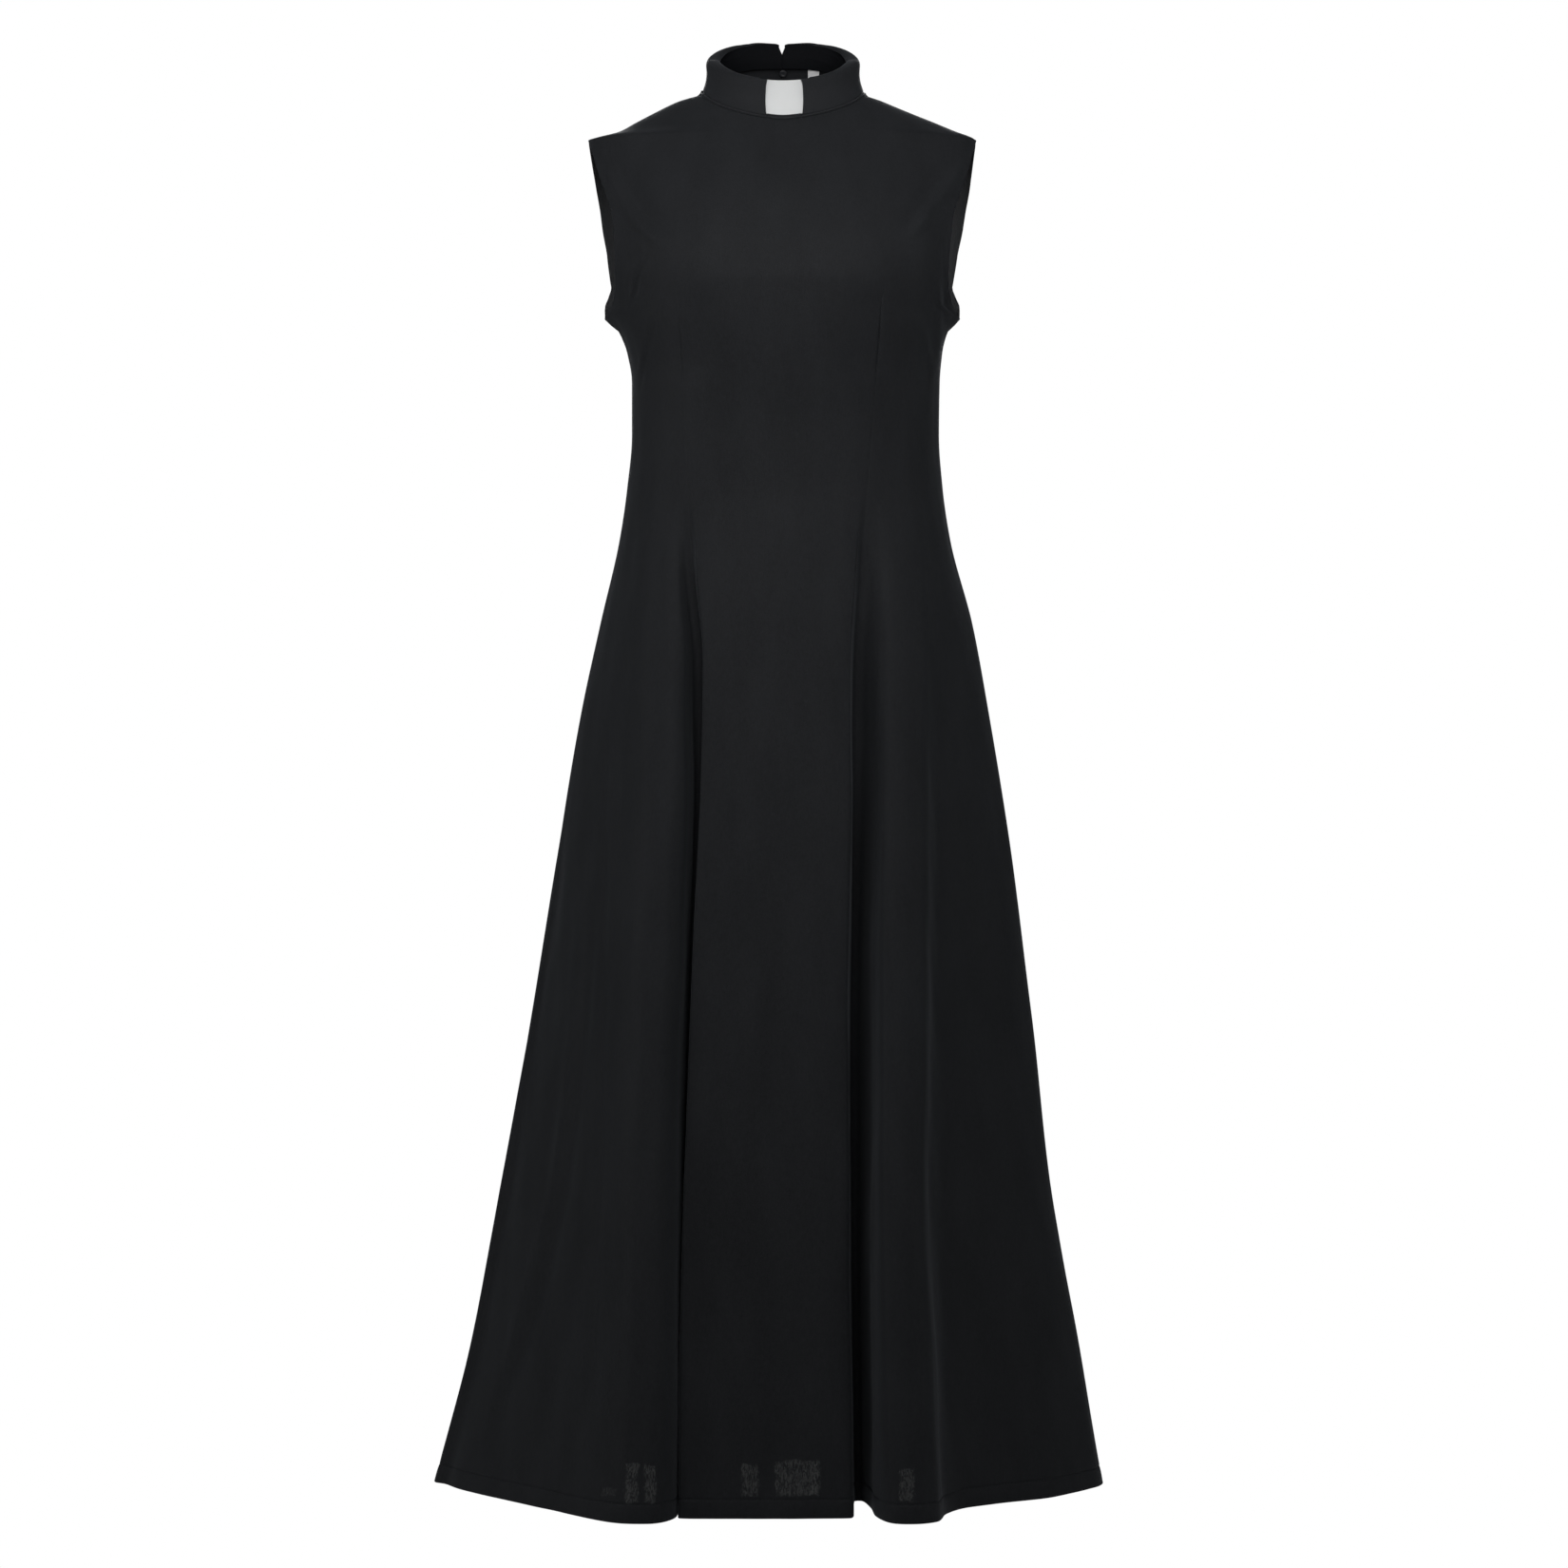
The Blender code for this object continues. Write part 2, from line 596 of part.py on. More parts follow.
def loft_wall(name, outer, inner, finish):
    """A closed wall between two grids of points with the same rows and columns."""
    rows, columns = outer.shape[:2]
    mesh = bpy.data.meshes.new(name)
    build = bmesh.new()
    outer_points = [[build.verts.new(point) for point in row] for row in outer]
    inner_points = [[build.verts.new(point) for point in row] for row in inner]
    for row in range(rows - 1):
        for column in range(columns - 1):
            corners = ((row, column), (row + 1, column), (row + 1, column + 1), (row, column + 1))
            falling = np.linalg.norm(outer[corners[0]] - outer[corners[2]])
            rising = np.linalg.norm(outer[corners[1]] - outer[corners[3]])
            order = (0, 1, 2, 0, 2, 3) if falling <= rising else (0, 1, 3, 1, 2, 3)
            for first in (0, 3):
                places = [corners[k] for k in order[first:first + 3]]
                build.faces.new([outer_points[r][c] for r, c in places])
                build.faces.new([inner_points[r][c] for r, c in reversed(places)])
    border = [(0, column) for column in range(columns - 1)]
    border += [(row, columns - 1) for row in range(rows - 1)]
    border += [(rows - 1, column) for column in range(columns - 1, 0, -1)]
    border += [(row, 0) for row in range(rows - 1, 0, -1)]
    for place, (row, column) in enumerate(border):
        next_row, next_column = border[(place + 1) % len(border)]
        build.faces.new((outer_points[row][column], outer_points[next_row][next_column],
                         inner_points[next_row][next_column], inner_points[row][column]))
    bmesh.ops.recalc_face_normals(build, faces=build.faces)
    build.to_mesh(mesh)
    build.free()
    round_off_shading(mesh)
    return linked_object(name, mesh, finish)


def make_panels():
    """The five panels of the dress. Returns the grids that other pieces are laid on."""
    grids = {}
    for name, _ in PANEL_FOLDS:
        points, directions = panel_grid(name)
        outer = trim_sides(points, SEAM_GAP / 2.0)
        loft_wall(name, outer, outer - directions * WALL, CLOTH_FINISH)
        grids[name] = (outer, directions)
    return grids


def neckline_point(turn):
    """Point of the neck seam at a turn about the neck, from the front centre."""
    angle = np.radians(np.asarray(turn, dtype=float))
    sine = np.sin(angle)
    cosine = np.cos(angle)
    power = 2.0 / SECTIONS[2][5]
    across = np.sign(sine) * half_width(SHOULDER_NECK_HEIGHT, 1) * np.abs(sine) ** power
    centre = np.where(cosine >= 0, FRONT_CROSS_LINES[0][1], BACK_CROSS_LINES[0][1])
    height = centre + (SHOULDER_NECK_HEIGHT - centre) * neck_rise(cosine, cosine >= 0)
    body_turn = turn_at(across, height)
    body_turn = np.where(cosine >= 0, body_turn, np.copysign(180.0, across) - body_turn)
    return body_point(body_turn, height)


def collar_point(turn, up):
    """Point of the collar's outer face: a turn about the neck, and a share of the collar's height."""
    turn, up = np.broadcast_arrays(np.asarray(turn, dtype=float), np.asarray(up, dtype=float))
    angle = np.radians(turn)
    foot = neckline_point(turn)
    foot[..., 2] += SEAM_GAP
    cosine = np.cos(angle)
    depth = np.where(cosine >= 0, COLLAR_TOP_FRONT_DEPTH, COLLAR_TOP_BACK_DEPTH)
    drop = COLLAR_TOP_FRONT_DROP * np.abs(cosine) ** COLLAR_FRONT_DROP_POWER
    rise = COLLAR_TOP_BACK_RISE * (1.0 - (1.0 - np.abs(cosine)) ** COLLAR_BACK_RISE_POWER)
    top = np.stack([COLLAR_TOP_HALF_WIDTH * np.sin(angle), -depth * cosine,
                    COLLAR_TOP_SIDE_HEIGHT + np.where(cosine >= 0, -drop, rise)], axis=-1)
    waist = 1.0 - COLLAR_WAIST / COLLAR_TOP_HALF_WIDTH * np.sin(np.pi * up)
    point = foot + (top - foot) * up[..., None]
    point[..., :2] *= waist[..., None]
    rolled = np.clip((up - COLLAR_LEAN_START) / (1.0 - COLLAR_LEAN_START), 0.0, 1.0)
    point[..., 0] -= COLLAR_LEAN * rolled ** COLLAR_LEAN_POWER * np.sin(angle) * np.abs(np.sin(angle))
    point[..., 2] += COLLAR_ROLL_RISE * np.sin(np.pi * rolled) * np.sin(angle) ** 2
    return point


def collar_inward(turn, up):
    """Level direction from the collar's face into the neck."""
    ahead = collar_point(turn + 0.5, up)[..., :2] - collar_point(turn - 0.5, up)[..., :2]
    direction = np.stack([-ahead[..., 1], ahead[..., 0], np.zeros(ahead.shape[:-1])], axis=-1)
    return direction / np.linalg.norm(direction, axis=-1, keepdims=True)


def window_turn(side, up):
    """Turn of the tab window's edge, which bows out at mid height."""
    bow = WINDOW_BULGE * (1.0 - (2.0 * up - 1.0) ** 2)
    edge = WINDOW_CENTRE + side * (WINDOW_HALF_WIDTH + bow)
    return np.degrees(np.arcsin(edge / COLLAR_TOP_HALF_WIDTH))


def back_end_turn(side, up):
    """Turn of a collar half's back end, rounded off towards the top to form the notch."""
    opened = np.clip((up - COLLAR_NOTCH_START) / (1.0 - COLLAR_NOTCH_START), 0.0, 1.0) ** COLLAR_NOTCH_POWER
    edge = COLLAR_BACK_OFFSET + side * (COLLAR_BACK_HALF_GAP + COLLAR_NOTCH_HALF_WIDTH * opened)
    return side * 180.0 - np.degrees(np.arcsin(edge / COLLAR_TOP_HALF_WIDTH))


def seam_turns_round_neck():
    """Turns about the neck at which the panels' columns meet the neck seam."""
    turns = []
    for name, side in (("back_left", -1.0), ("back_right", 1.0)):
        _, shares = panel_columns(name)
        turns += list(side * (180.0 - 90.0 * shares))
    _, shares = panel_columns("front_centre")
    turns += list(90.0 * shares)
    return np.unique(np.round(turns, 6))


def collar_piece(name, starts, ends, ups, set_in, wall, finish):
    """A curved strip of the collar between two end lines, set in from the collar's outer face."""
    stitched = seam_turns_round_neck()
    spare = COLLAR_END_COLUMN
    inner_turns = stitched[(stitched > max(starts) + spare) & (stitched < min(ends) - spare)]
    outer = []
    inner = []
    for up, start, end in zip(ups, starts, ends):
        turns = np.concatenate([[start], inner_turns, [end]])
        heights = np.full(len(turns), up)
        face = collar_point(turns, heights)
        inward = collar_inward(turns, heights)
        outer.append(face + inward * set_in)
        inner.append(face + inward * (set_in + wall))
    return loft_wall(name, np.array(outer), np.array(inner), finish)


def make_collar():
    """Two outer halves, the band inside them, and the white tab between."""
    ups = np.array(COLLAR_UPS)
    collar_piece("collar_left", back_end_turn(-1, ups), window_turn(-1, ups), ups, 0.0, COLLAR_WALL, CLOTH_FINISH)
    collar_piece("collar_right", window_turn(1, ups), back_end_turn(1, ups), ups, 0.0, COLLAR_WALL, CLOTH_FINISH)
    band_ups = np.array(BAND_UPS)
    band_starts = back_end_turn(-1, band_ups)
    band_ends = back_end_turn(1, band_ups)
    band_set_in = COLLAR_WALL + TAB_WALL + 2.0 * SEAM_GAP
    collar_piece("collar_band", band_starts, band_ends, band_ups, band_set_in, BAND_WALL, CLOTH_FINISH)
    tab_ups = np.array(TAB_UPS)
    tab_starts = np.degrees(np.arcsin((WINDOW_CENTRE - TAB_HALF_WIDTH) / COLLAR_TOP_HALF_WIDTH)) + 0 * tab_ups
    tab_ends = np.degrees(np.arcsin((WINDOW_CENTRE + TAB_HALF_WIDTH) / COLLAR_TOP_HALF_WIDTH)) + 0 * tab_ups
    tab_set_in = COLLAR_WALL + SEAM_GAP
    collar_piece("tab_insert", tab_starts, tab_ends, tab_ups, tab_set_in, TAB_WALL, TAB_FINISH)


def box_mesh(build, size, centre):
    """Adds a box to a mesh being built."""
    made = bmesh.ops.create_cube(build, size=1.0)
    bmesh.ops.scale(build, vec=size, verts=made["verts"])
    bmesh.ops.translate(build, vec=centre, verts=made["verts"])


def plate_from_outlines(name, outline, hole, thickness, finish):
    """A flat plate with an optional four-cornered hole, lying in its own XY plane and centred on it."""
    curve = bpy.data.curves.new(name, "CURVE")
    curve.dimensions = "2D"
    curve.fill_mode = "BOTH"
    curve.extrude = thickness / 2.0
    for points in (outline, hole):
        if not points:
            continue
        spline = curve.splines.new("POLY")
        spline.points.add(len(points) - 1)
        for place, (x, y) in enumerate(points):
            spline.points[place].co = (x, y, 0.0, 1.0)
        spline.use_cyclic_u = True
    flat = bpy.data.objects.new(name + "_outline", curve)
    bpy.data.collections[COLLECTION_NAME].objects.link(flat)
    mesh = bpy.data.meshes.new_from_object(flat.evaluated_get(bpy.context.evaluated_depsgraph_get()))
    bpy.data.objects.remove(flat)
    build = bmesh.new()
    build.from_mesh(mesh)
    bmesh.ops.remove_doubles(build, verts=build.verts, dist=WELD_DISTANCE)
    bmesh.ops.recalc_face_normals(build, faces=build.faces)
    build.to_mesh(mesh)
    build.free()
    mesh.materials.clear()
    return linked_object(name, mesh, finish)


def back_frame(height):
    """Place and directions at the centre back: across, down along the cloth, and out of it."""
    point = Vector(body_point(180.0, height))
    out = Vector(outward(body_point, np.array([180.0]), np.array([height]), TURN_STEP)[0])
    across = Vector((1.0, 0.0, 0.0))
    down = out.cross(across)
    if down.z > 0:
        down = -down
    return point, across, down.normalized(), out.normalized()


def make_zip(grids):
    """Two tapes behind the back panels, the slider on the seam, and the pull tab on its bridge."""
    top = ZIP_TOP_ROW_HEIGHT
    for name, panel, first in (("zip_tape_left", "back_left", True), ("zip_tape_right", "back_right", False)):
        points, directions = grids[panel]
        columns = slice(0, TAPE_COLUMNS) if first else slice(-TAPE_COLUMNS, None)
        centre_column = 0 if first else -1
        heights = points[:, centre_column, 2]
        rows = np.nonzero((heights < top) & (heights > top - ZIP_LENGTH))[0]
        face = points[rows][:, columns] - directions[rows][:, columns] * (WALL + SEAM_GAP)
        loft_wall(name, face, face - directions[rows][:, columns] * TAPE_WALL, CLOTH_FINISH)

    point, across, down, out = back_frame(SLIDER_HEIGHT)
    placed = Matrix.Translation(point) @ Matrix((across, down, out)).transposed().to_4x4()
    width, length, thickness = SLIDER_SIZE
    bar_height = SEAM_GAP + thickness + BRIDGE_CLEARANCE + PULL_BAR / 2.0
    under = bar_height + PULL_BAR / 2.0 + BRIDGE_CLEARANCE
    leg_top = -(PULL_BAR / 2.0 + BRIDGE_BAR_CLEARANCE + BRIDGE_THICKNESS / 2.0)
    build = bmesh.new()
    box_mesh(build, (width, length, thickness), (0.0, SLIDER_LEAD, SEAM_GAP + thickness / 2.0))
    leg_height = under + BRIDGE_THICKNESS - SEAM_GAP - thickness + BOX_OVERLAP
    for place in (leg_top, BRIDGE_LOWER_LEG):
        box_mesh(build, (BRIDGE_WIDTH, BRIDGE_THICKNESS, leg_height),
                 (0.0, place, SEAM_GAP + thickness - BOX_OVERLAP + leg_height / 2.0))
    span = BRIDGE_LOWER_LEG - leg_top
    box_mesh(build, (BRIDGE_WIDTH - BRIDGE_BAR_INSET, span, BRIDGE_THICKNESS),
             (0.0, (BRIDGE_LOWER_LEG + leg_top) / 2.0, under + (BRIDGE_THICKNESS - BRIDGE_BAR_INSET) / 2.0))
    parts = bpy.data.meshes.new("zip_slider")
    build.to_mesh(parts)
    build.free()
    slider = linked_object("zip_slider", union_of_boxes(parts), ZIP_METAL_FINISH)
    slider.matrix_world = placed

    pull_width, pull_length, pull_thickness = PULL_SIZE
    window_width, window_length = PULL_WINDOW
    head = PULL_BAR / 2.0
    right_side = [(pull_width * PULL_HEAD_SHARE, -head),
                  (pull_width * PULL_NECK_SHARE, window_length),
                  (pull_width * PULL_WIDEST_SHARE, pull_length * PULL_WIDEST_PLACE),
                  (pull_width * PULL_TIP_SHARE, pull_length * PULL_TIP_PLACE)]
    left_side = [(-across_place, along_place) for across_place, along_place in reversed(right_side)]
    outline = left_side[-1:] + right_side + [(0.0, pull_length - head)] + left_side[:-1]
    hole = [(-window_width / 2.0, head), (window_width / 2.0, head),
            (window_width / 2.0, head + window_length), (-window_width / 2.0, head + window_length)]
    pull = plate_from_outlines("zip_pull", outline, hole, pull_thickness, ZIP_METAL_FINISH)
    hinge = bpy.data.objects.new("zip_pull_hinge", None)
    bpy.data.collections[COLLECTION_NAME].objects.link(hinge)
    hinge.matrix_world = placed @ Matrix.Translation((0.0, 0.0, bar_height))
    pull.parent = hinge


def union_of_boxes(mesh):
    """Joins the overlapping boxes of a mesh into one closed body."""
    build = bmesh.new()
    build.from_mesh(mesh)
    islands = []
    unseen = set(build.verts)
    while unseen:
        stack = [unseen.pop()]
        island = list(stack)
        while stack:
            for edge in stack.pop().link_edges:
                for vert in edge.verts:
                    if vert in unseen:
                        unseen.remove(vert)
                        stack.append(vert)
                        island.append(vert)
        islands.append([vert.co.copy() for vert in island])
    build.free()
    pieces = []
    for island in islands:
        piece = bpy.data.meshes.new("slider_box")
        hull = bmesh.new()
        for point in island:
            hull.verts.new(point)
        bmesh.ops.convex_hull(hull, input=hull.verts)
        hull.to_mesh(piece)
        hull.free()
        made = bpy.data.objects.new("slider_box", piece)
        bpy.data.collections[COLLECTION_NAME].objects.link(made)
        pieces.append(made)
    body = pieces[0]
    for other in pieces[1:]:
        join = body.modifiers.new("join", "BOOLEAN")
        join.operation = "UNION"
        join.object = other
    joined = bpy.data.meshes.new_from_object(body.evaluated_get(bpy.context.evaluated_depsgraph_get()))
    for made in pieces:
        bpy.data.objects.remove(made)
    return joined


def make_button():
    """The small round button inside the back neck."""
    point, across, down, out = back_frame(BUTTON_HEIGHT)
    build = bmesh.new()
    bmesh.ops.create_cone(build, cap_ends=True, segments=20, radius1=BUTTON_RADIUS,
                          radius2=BUTTON_RADIUS * BUTTON_TAPER, depth=BUTTON_THICKNESS)
    mesh = bpy.data.meshes.new("neck_button")
    build.to_mesh(mesh)
    build.free()
    round_off_shading(mesh)
    button = linked_object("neck_button", mesh, BUTTON_FINISH)
    centre = point - out * (WALL + 2.0 * SEAM_GAP + BUTTON_THICKNESS / 2.0)
    button.matrix_world = Matrix.Translation(centre) @ Matrix((across, down, -out)).transposed().to_4x4()


def make_label():
    """The blank size label that hangs from the back neck seam, inside."""
    turns = np.linspace(LABEL_TURN - LABEL_WIDTH_TURN / 2.0, LABEL_TURN + LABEL_WIDTH_TURN / 2.0, 4)
    tops = neckline_point(turns)
    rows = []
    directions = []
    for drop in np.linspace(0.0005, LABEL_DROP, 4):
        heights = tops[:, 2] - drop
        body_turns = 180.0 - turn_at(tops[:, 0], heights)
        rows.append(body_point(body_turns, heights))
        directions.append(outward(body_point, body_turns, heights, TURN_STEP))
    face = np.array(rows) - np.array(directions) * (WALL + 3.0 * SEAM_GAP)
    loft_wall("size_label", face, face - np.array(directions) * LABEL_WALL, LABEL_FINISH)


def main():
    for old in list(bpy.data.objects):
        bpy.data.objects.remove(old)
    collection = bpy.data.collections.new(COLLECTION_NAME)
    bpy.context.scene.collection.children.link(collection)
    grids = make_panels()
    make_collar()
    make_zip(grids)
    make_button()
    make_label()


main()
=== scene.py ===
import math

import bpy
import numpy as np
from mathutils import Matrix, Vector


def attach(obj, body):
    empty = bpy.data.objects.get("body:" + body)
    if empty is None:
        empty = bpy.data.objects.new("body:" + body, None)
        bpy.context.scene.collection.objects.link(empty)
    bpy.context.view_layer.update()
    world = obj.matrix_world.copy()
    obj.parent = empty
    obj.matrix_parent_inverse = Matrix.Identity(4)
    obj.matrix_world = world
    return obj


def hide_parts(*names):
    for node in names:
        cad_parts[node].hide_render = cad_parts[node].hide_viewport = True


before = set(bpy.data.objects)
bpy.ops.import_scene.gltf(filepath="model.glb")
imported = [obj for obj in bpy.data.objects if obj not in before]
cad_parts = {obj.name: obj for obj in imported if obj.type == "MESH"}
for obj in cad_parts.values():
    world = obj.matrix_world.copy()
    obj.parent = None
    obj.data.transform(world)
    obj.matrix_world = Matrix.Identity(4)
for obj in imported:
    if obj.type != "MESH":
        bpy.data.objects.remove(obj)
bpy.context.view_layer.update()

# Dress panels: the centre front, two side fronts and two backs, cut from one black crepe knit.
# They are seamed from shoulder and armhole to hem, and the flare falls in deep folds beside the centre front.
# The hem is turned up 16 mm and stitched through; the armholes are turned and pressed.
CAMERA_PLACE = (0.0009, -4.0, -0.630)
FOCAL_PIXELS = 4444.4
PICTURE_CENTRE = 825.0
SHOULDER_NECK_HEIGHT = 0.0225
BUST_SEAM_TOP = -0.093
FLARE_TOP = -0.335
HEM_HEIGHT = -1.289
FOLD_OPENING_POWER = 2.2
FOLD_SOFT_START = 0.12
SECTION_COLUMNS = ("height", "left", "right", "front", "back", "squareness")
SECTIONS = (
    (0.0580, 0.0800, 0.0800, 0.0330, 0.0565, 1.90),
    (0.0400, 0.0800, 0.0800, 0.0400, 0.0665, 1.90),
    (0.0225, 0.0775, 0.0775, 0.0470, 0.0760, 1.90),
    (0.0150, 0.1005, 0.0955, 0.0505, 0.0795, 1.90),
    (0.0060, 0.1195, 0.1170, 0.0545, 0.0835, 1.90),
    (-0.0050, 0.1405, 0.1445, 0.0595, 0.0880, 1.90),
    (-0.0140, 0.1575, 0.1665, 0.0640, 0.0910, 1.90),
    (-0.0185, 0.1745, 0.1790, 0.0665, 0.0926, 1.90),
    (-0.0210, 0.1845, 0.1830, 0.0680, 0.0935, 1.90),
    (-0.0600, 0.1830, 0.1828, 0.0905, 0.1010, 2.10),
    (-0.1000, 0.1792, 0.1785, 0.1100, 0.1040, 2.30),
    (-0.1500, 0.1715, 0.1690, 0.1255, 0.1035, 2.40),
    (-0.1750, 0.1615, 0.1600, 0.1265, 0.1010, 2.40),
    (-0.1900, 0.1565, 0.1550, 0.1253, 0.0990, 2.40),
    (-0.2020, 0.1530, 0.1535, 0.1238, 0.0975, 2.40),
    (-0.2200, 0.1480, 0.1505, 0.1212, 0.0945, 2.35),
    (-0.2500, 0.1430, 0.1480, 0.1168, 0.0910, 2.30),
    (-0.3000, 0.1430, 0.1475, 0.1102, 0.0900, 2.30),
    (-0.3500, 0.1475, 0.1510, 0.1092, 0.0965, 2.30),
    (-0.4000, 0.1548, 0.1584, 0.1140, 0.1050, 2.30),
    (-0.4800, 0.1730, 0.1795, 0.1260, 0.1180, 2.30),
    (-0.5600, 0.1903, 0.1941, 0.1355, 0.1280, 2.30),
    (-0.7000, 0.2146, 0.2160, 0.1530, 0.1460, 2.30),
    (-0.8500, 0.2390, 0.2348, 0.1730, 0.1660, 2.30),
    (-1.0000, 0.2650, 0.2512, 0.1940, 0.1870, 2.30),
    (-1.1500, 0.2930, 0.2778, 0.2155, 0.2090, 2.30),
    (-1.2890, 0.3294, 0.3006, 0.2360, 0.2300, 2.30),
)
UNDERARM_FLARE_COLUMNS = ("height", "reach")
UNDERARM_FLARES = (
    (-0.1240, 0.0000),
    (-0.1540, 0.0035),
    (-0.1650, 0.0095),
    (-0.1750, 0.0130),
    (-0.1900, 0.0125),
    (-0.2020, 0.0025),
    (-0.2200, 0.0000),
)
UNDERARM_FLARE_DEPTH = 0.045
BUST_SEAM_COLUMNS = ("height", "left", "right")
BUST_SEAMS = (
    (-0.0935, -0.1601, 0.1597),
    (-0.0970, -0.1520, 0.1510),
    (-0.1050, -0.1420, 0.1400),
    (-0.1200, -0.1270, 0.1235),
    (-0.1400, -0.1135, 0.1080),
    (-0.1580, -0.1045, 0.0985),
    (-0.1790, -0.0985, 0.0925),
    (-0.2200, -0.0955, 0.0895),
    (-0.2600, -0.0930, 0.0860),
    (-0.3450, -0.0895, 0.0790),
    (-0.4330, -0.0850, 0.0720),
    (-0.5210, -0.0770, 0.0660),
    (-0.6080, -0.0775, 0.0643),
    (-0.6950, -0.0800, 0.0624),
    (-0.8670, -0.0870, 0.0600),
    (-1.0380, -0.0918, 0.0600),
    (-1.2890, -0.0939, 0.0625),
)
ARMHOLE_COLUMNS = ("height", "front", "back")
ARMHOLES = (
    (-0.0210, 1.000, 1.000),
    (-0.0440, 0.965, 0.986),
    (-0.0630, 0.937, 0.975),
    (-0.0860, 0.903, 0.965),
    (-0.1010, 0.892, 0.964),
    (-0.1240, 0.895, 0.957),
    (-0.1540, 0.918, 0.957),
    (-0.1650, 0.936, 0.972),
    (-0.1750, 0.957, 0.988),
    (-0.1870, 0.990, 0.999),
    (-0.1900, 1.000, 1.000),
)
# Fold guides, each with its share across the panel in the bodice, and at the hem its share across the panel,
# its step aside in metres and its share of the body's depth
BACK_LEFT_FOLDS = (
    (0.000, 0.000, 0.0, 0.880),
    (0.110, 0.100, 0.0, 0.955),
    (0.250, 0.190, 0.0, 0.985),
    (0.400, 0.340, 0.0, 0.780),
    (0.550, 0.500, 0.0, 0.960),
    (0.680, 0.640, 0.0, 0.665),
    (0.820, 0.800, 0.0, 0.600),
    (0.920, 0.930, 0.0, 0.310),
)
SIDE_LEFT_FOLDS = (
    (1.000, 1.000, 0.0, 0.000),
    (0.880, 0.945, 0.0, 0.095),
    (0.760, 0.838, 0.0, 0.272),
    (0.620, 0.595, 0.0, 0.570),
    (0.500, 0.344, 0.0, 0.877),
    (0.400, 0.231, 0.0, 0.979),
    (0.300, 0.130, 0.0, 1.000),
    (0.210, 0.073, 0.0, 0.979),
    (0.150, 0.030, 0.0, 0.915),
    (0.100, 0.000, -0.0014, 0.830),
    (0.060, 0.000, 0.0000, 0.660),
    (0.030, 0.000, -0.0008, 0.500),
)
CENTRE_FOLDS = (
    (-1.000, 0.00, 0.0024, 0.475),
    (-0.985, 0.00, 0.0058, 0.500),
    (-0.960, 0.00, 0.0068, 0.660),
    (-0.935, 0.00, 0.0050, 0.830),
    (-0.910, 0.00, 0.0000, 0.868),
    (-0.860, 0.00, 0.0070, 0.880),
    (-0.550, 0.25, 0.0000, 0.884),
    (0.000, 0.50, 0.0000, 0.888),
    (0.550, 0.75, 0.0000, 0.884),
    (0.860, 1.00, -0.0080, 0.879),
    (0.910, 1.00, 0.0000, 0.862),
    (0.935, 1.00, 0.0008, 0.800),
    (0.960, 1.00, 0.0010, 0.640),
    (0.985, 1.00, 0.0022, 0.510),
)
SIDE_RIGHT_FOLDS = (
    (0.000, 0.000, 0.0064, 0.483),
    (0.030, 0.000, 0.0120, 0.505),
    (0.070, 0.000, 0.0190, 0.660),
    (0.120, 0.000, 0.0215, 0.835),
    (0.200, 0.144, 0.0, 0.979),
    (0.300, 0.232, 0.0, 1.000),
    (0.400, 0.312, 0.0, 0.955),
    (0.450, 0.336, 0.0, 0.890),
    (0.500, 0.358, 0.0, 0.775),
    (0.560, 0.425, 0.0, 0.655),
    (0.700, 0.583, 0.0, 0.534),
    (0.820, 0.780, 0.0, 0.400),
    (0.910, 0.940, 0.0, 0.200),
    (0.960, 0.992, 0.0, 0.105),
)
BACK_RIGHT_FOLDS = (
    (1.000, 0.994, 0.0, 0.000),
    (0.920, 0.930, 0.0, 0.300),
    (0.830, 0.815, 0.0, 0.565),
    (0.700, 0.683, 0.0, 0.600),
    (0.560, 0.527, 0.0, 0.935),
    (0.420, 0.350, 0.0, 0.783),
    (0.270, 0.200, 0.0, 1.000),
    (0.120, 0.100, 0.0, 0.940),
)
PANEL_FOLDS = (
    ("back_left", BACK_LEFT_FOLDS),
    ("side_front_left", SIDE_LEFT_FOLDS),
    ("front_centre", CENTRE_FOLDS),
    ("side_front_right", SIDE_RIGHT_FOLDS),
    ("back_right", BACK_RIGHT_FOLDS),
)
PANEL_FAR_SHARE = {"back_left": 1.0, "side_front_left": 0.0, "front_centre": 1.0, "side_front_right": 1.0,
                   "back_right": 0.0}
# Cross lines of the bodice, from the neck down to the underarm: their heights at the outer edge and at the
# centre line
FRONT_CROSS_LINES = (
    (0.0225, -0.0110),
    (0.0120, -0.0250),
    (0.0010, -0.0390),
    (-0.0100, -0.0530),
    (-0.0210, -0.0670),
    (-0.0440, -0.0830),
    (-0.0660, -0.0990),
    (-0.0860, -0.1120),
    (-0.0935, -0.1173),
    (-0.0970, -0.1200),
    (-0.1050, -0.1260),
    (-0.1200, -0.1370),
    (-0.1400, -0.1520),
    (-0.1580, -0.1660),
    (-0.1720, -0.1750),
    (-0.1830, -0.1840),
)
BACK_CROSS_LINES = (
    (0.0225, 0.0570),
    (0.0120, 0.0430),
    (0.0010, 0.0275),
    (-0.0100, 0.0120),
    (-0.0210, -0.0040),
    (-0.0440, -0.0280),
    (-0.0660, -0.0520),
    (-0.0950, -0.0820),
    (-0.1240, -0.1140),
    (-0.1480, -0.1440),
    (-0.1660, -0.1640),
    (-0.1800, -0.1800),
)
UNDERARM_HEIGHT = -0.190
NECKLINE_FRONT_POWER = 0.8
NECKLINE_BACK_POWER = 1.6
NECKLINE_BACK_EASE = 2.0
NECKLINE_FRONT_FADE = 4
NECKLINE_BACK_FADE = 1
ROWS_BETWEEN_LINES = 5
SKIRT_ROW_STEP = 0.0055
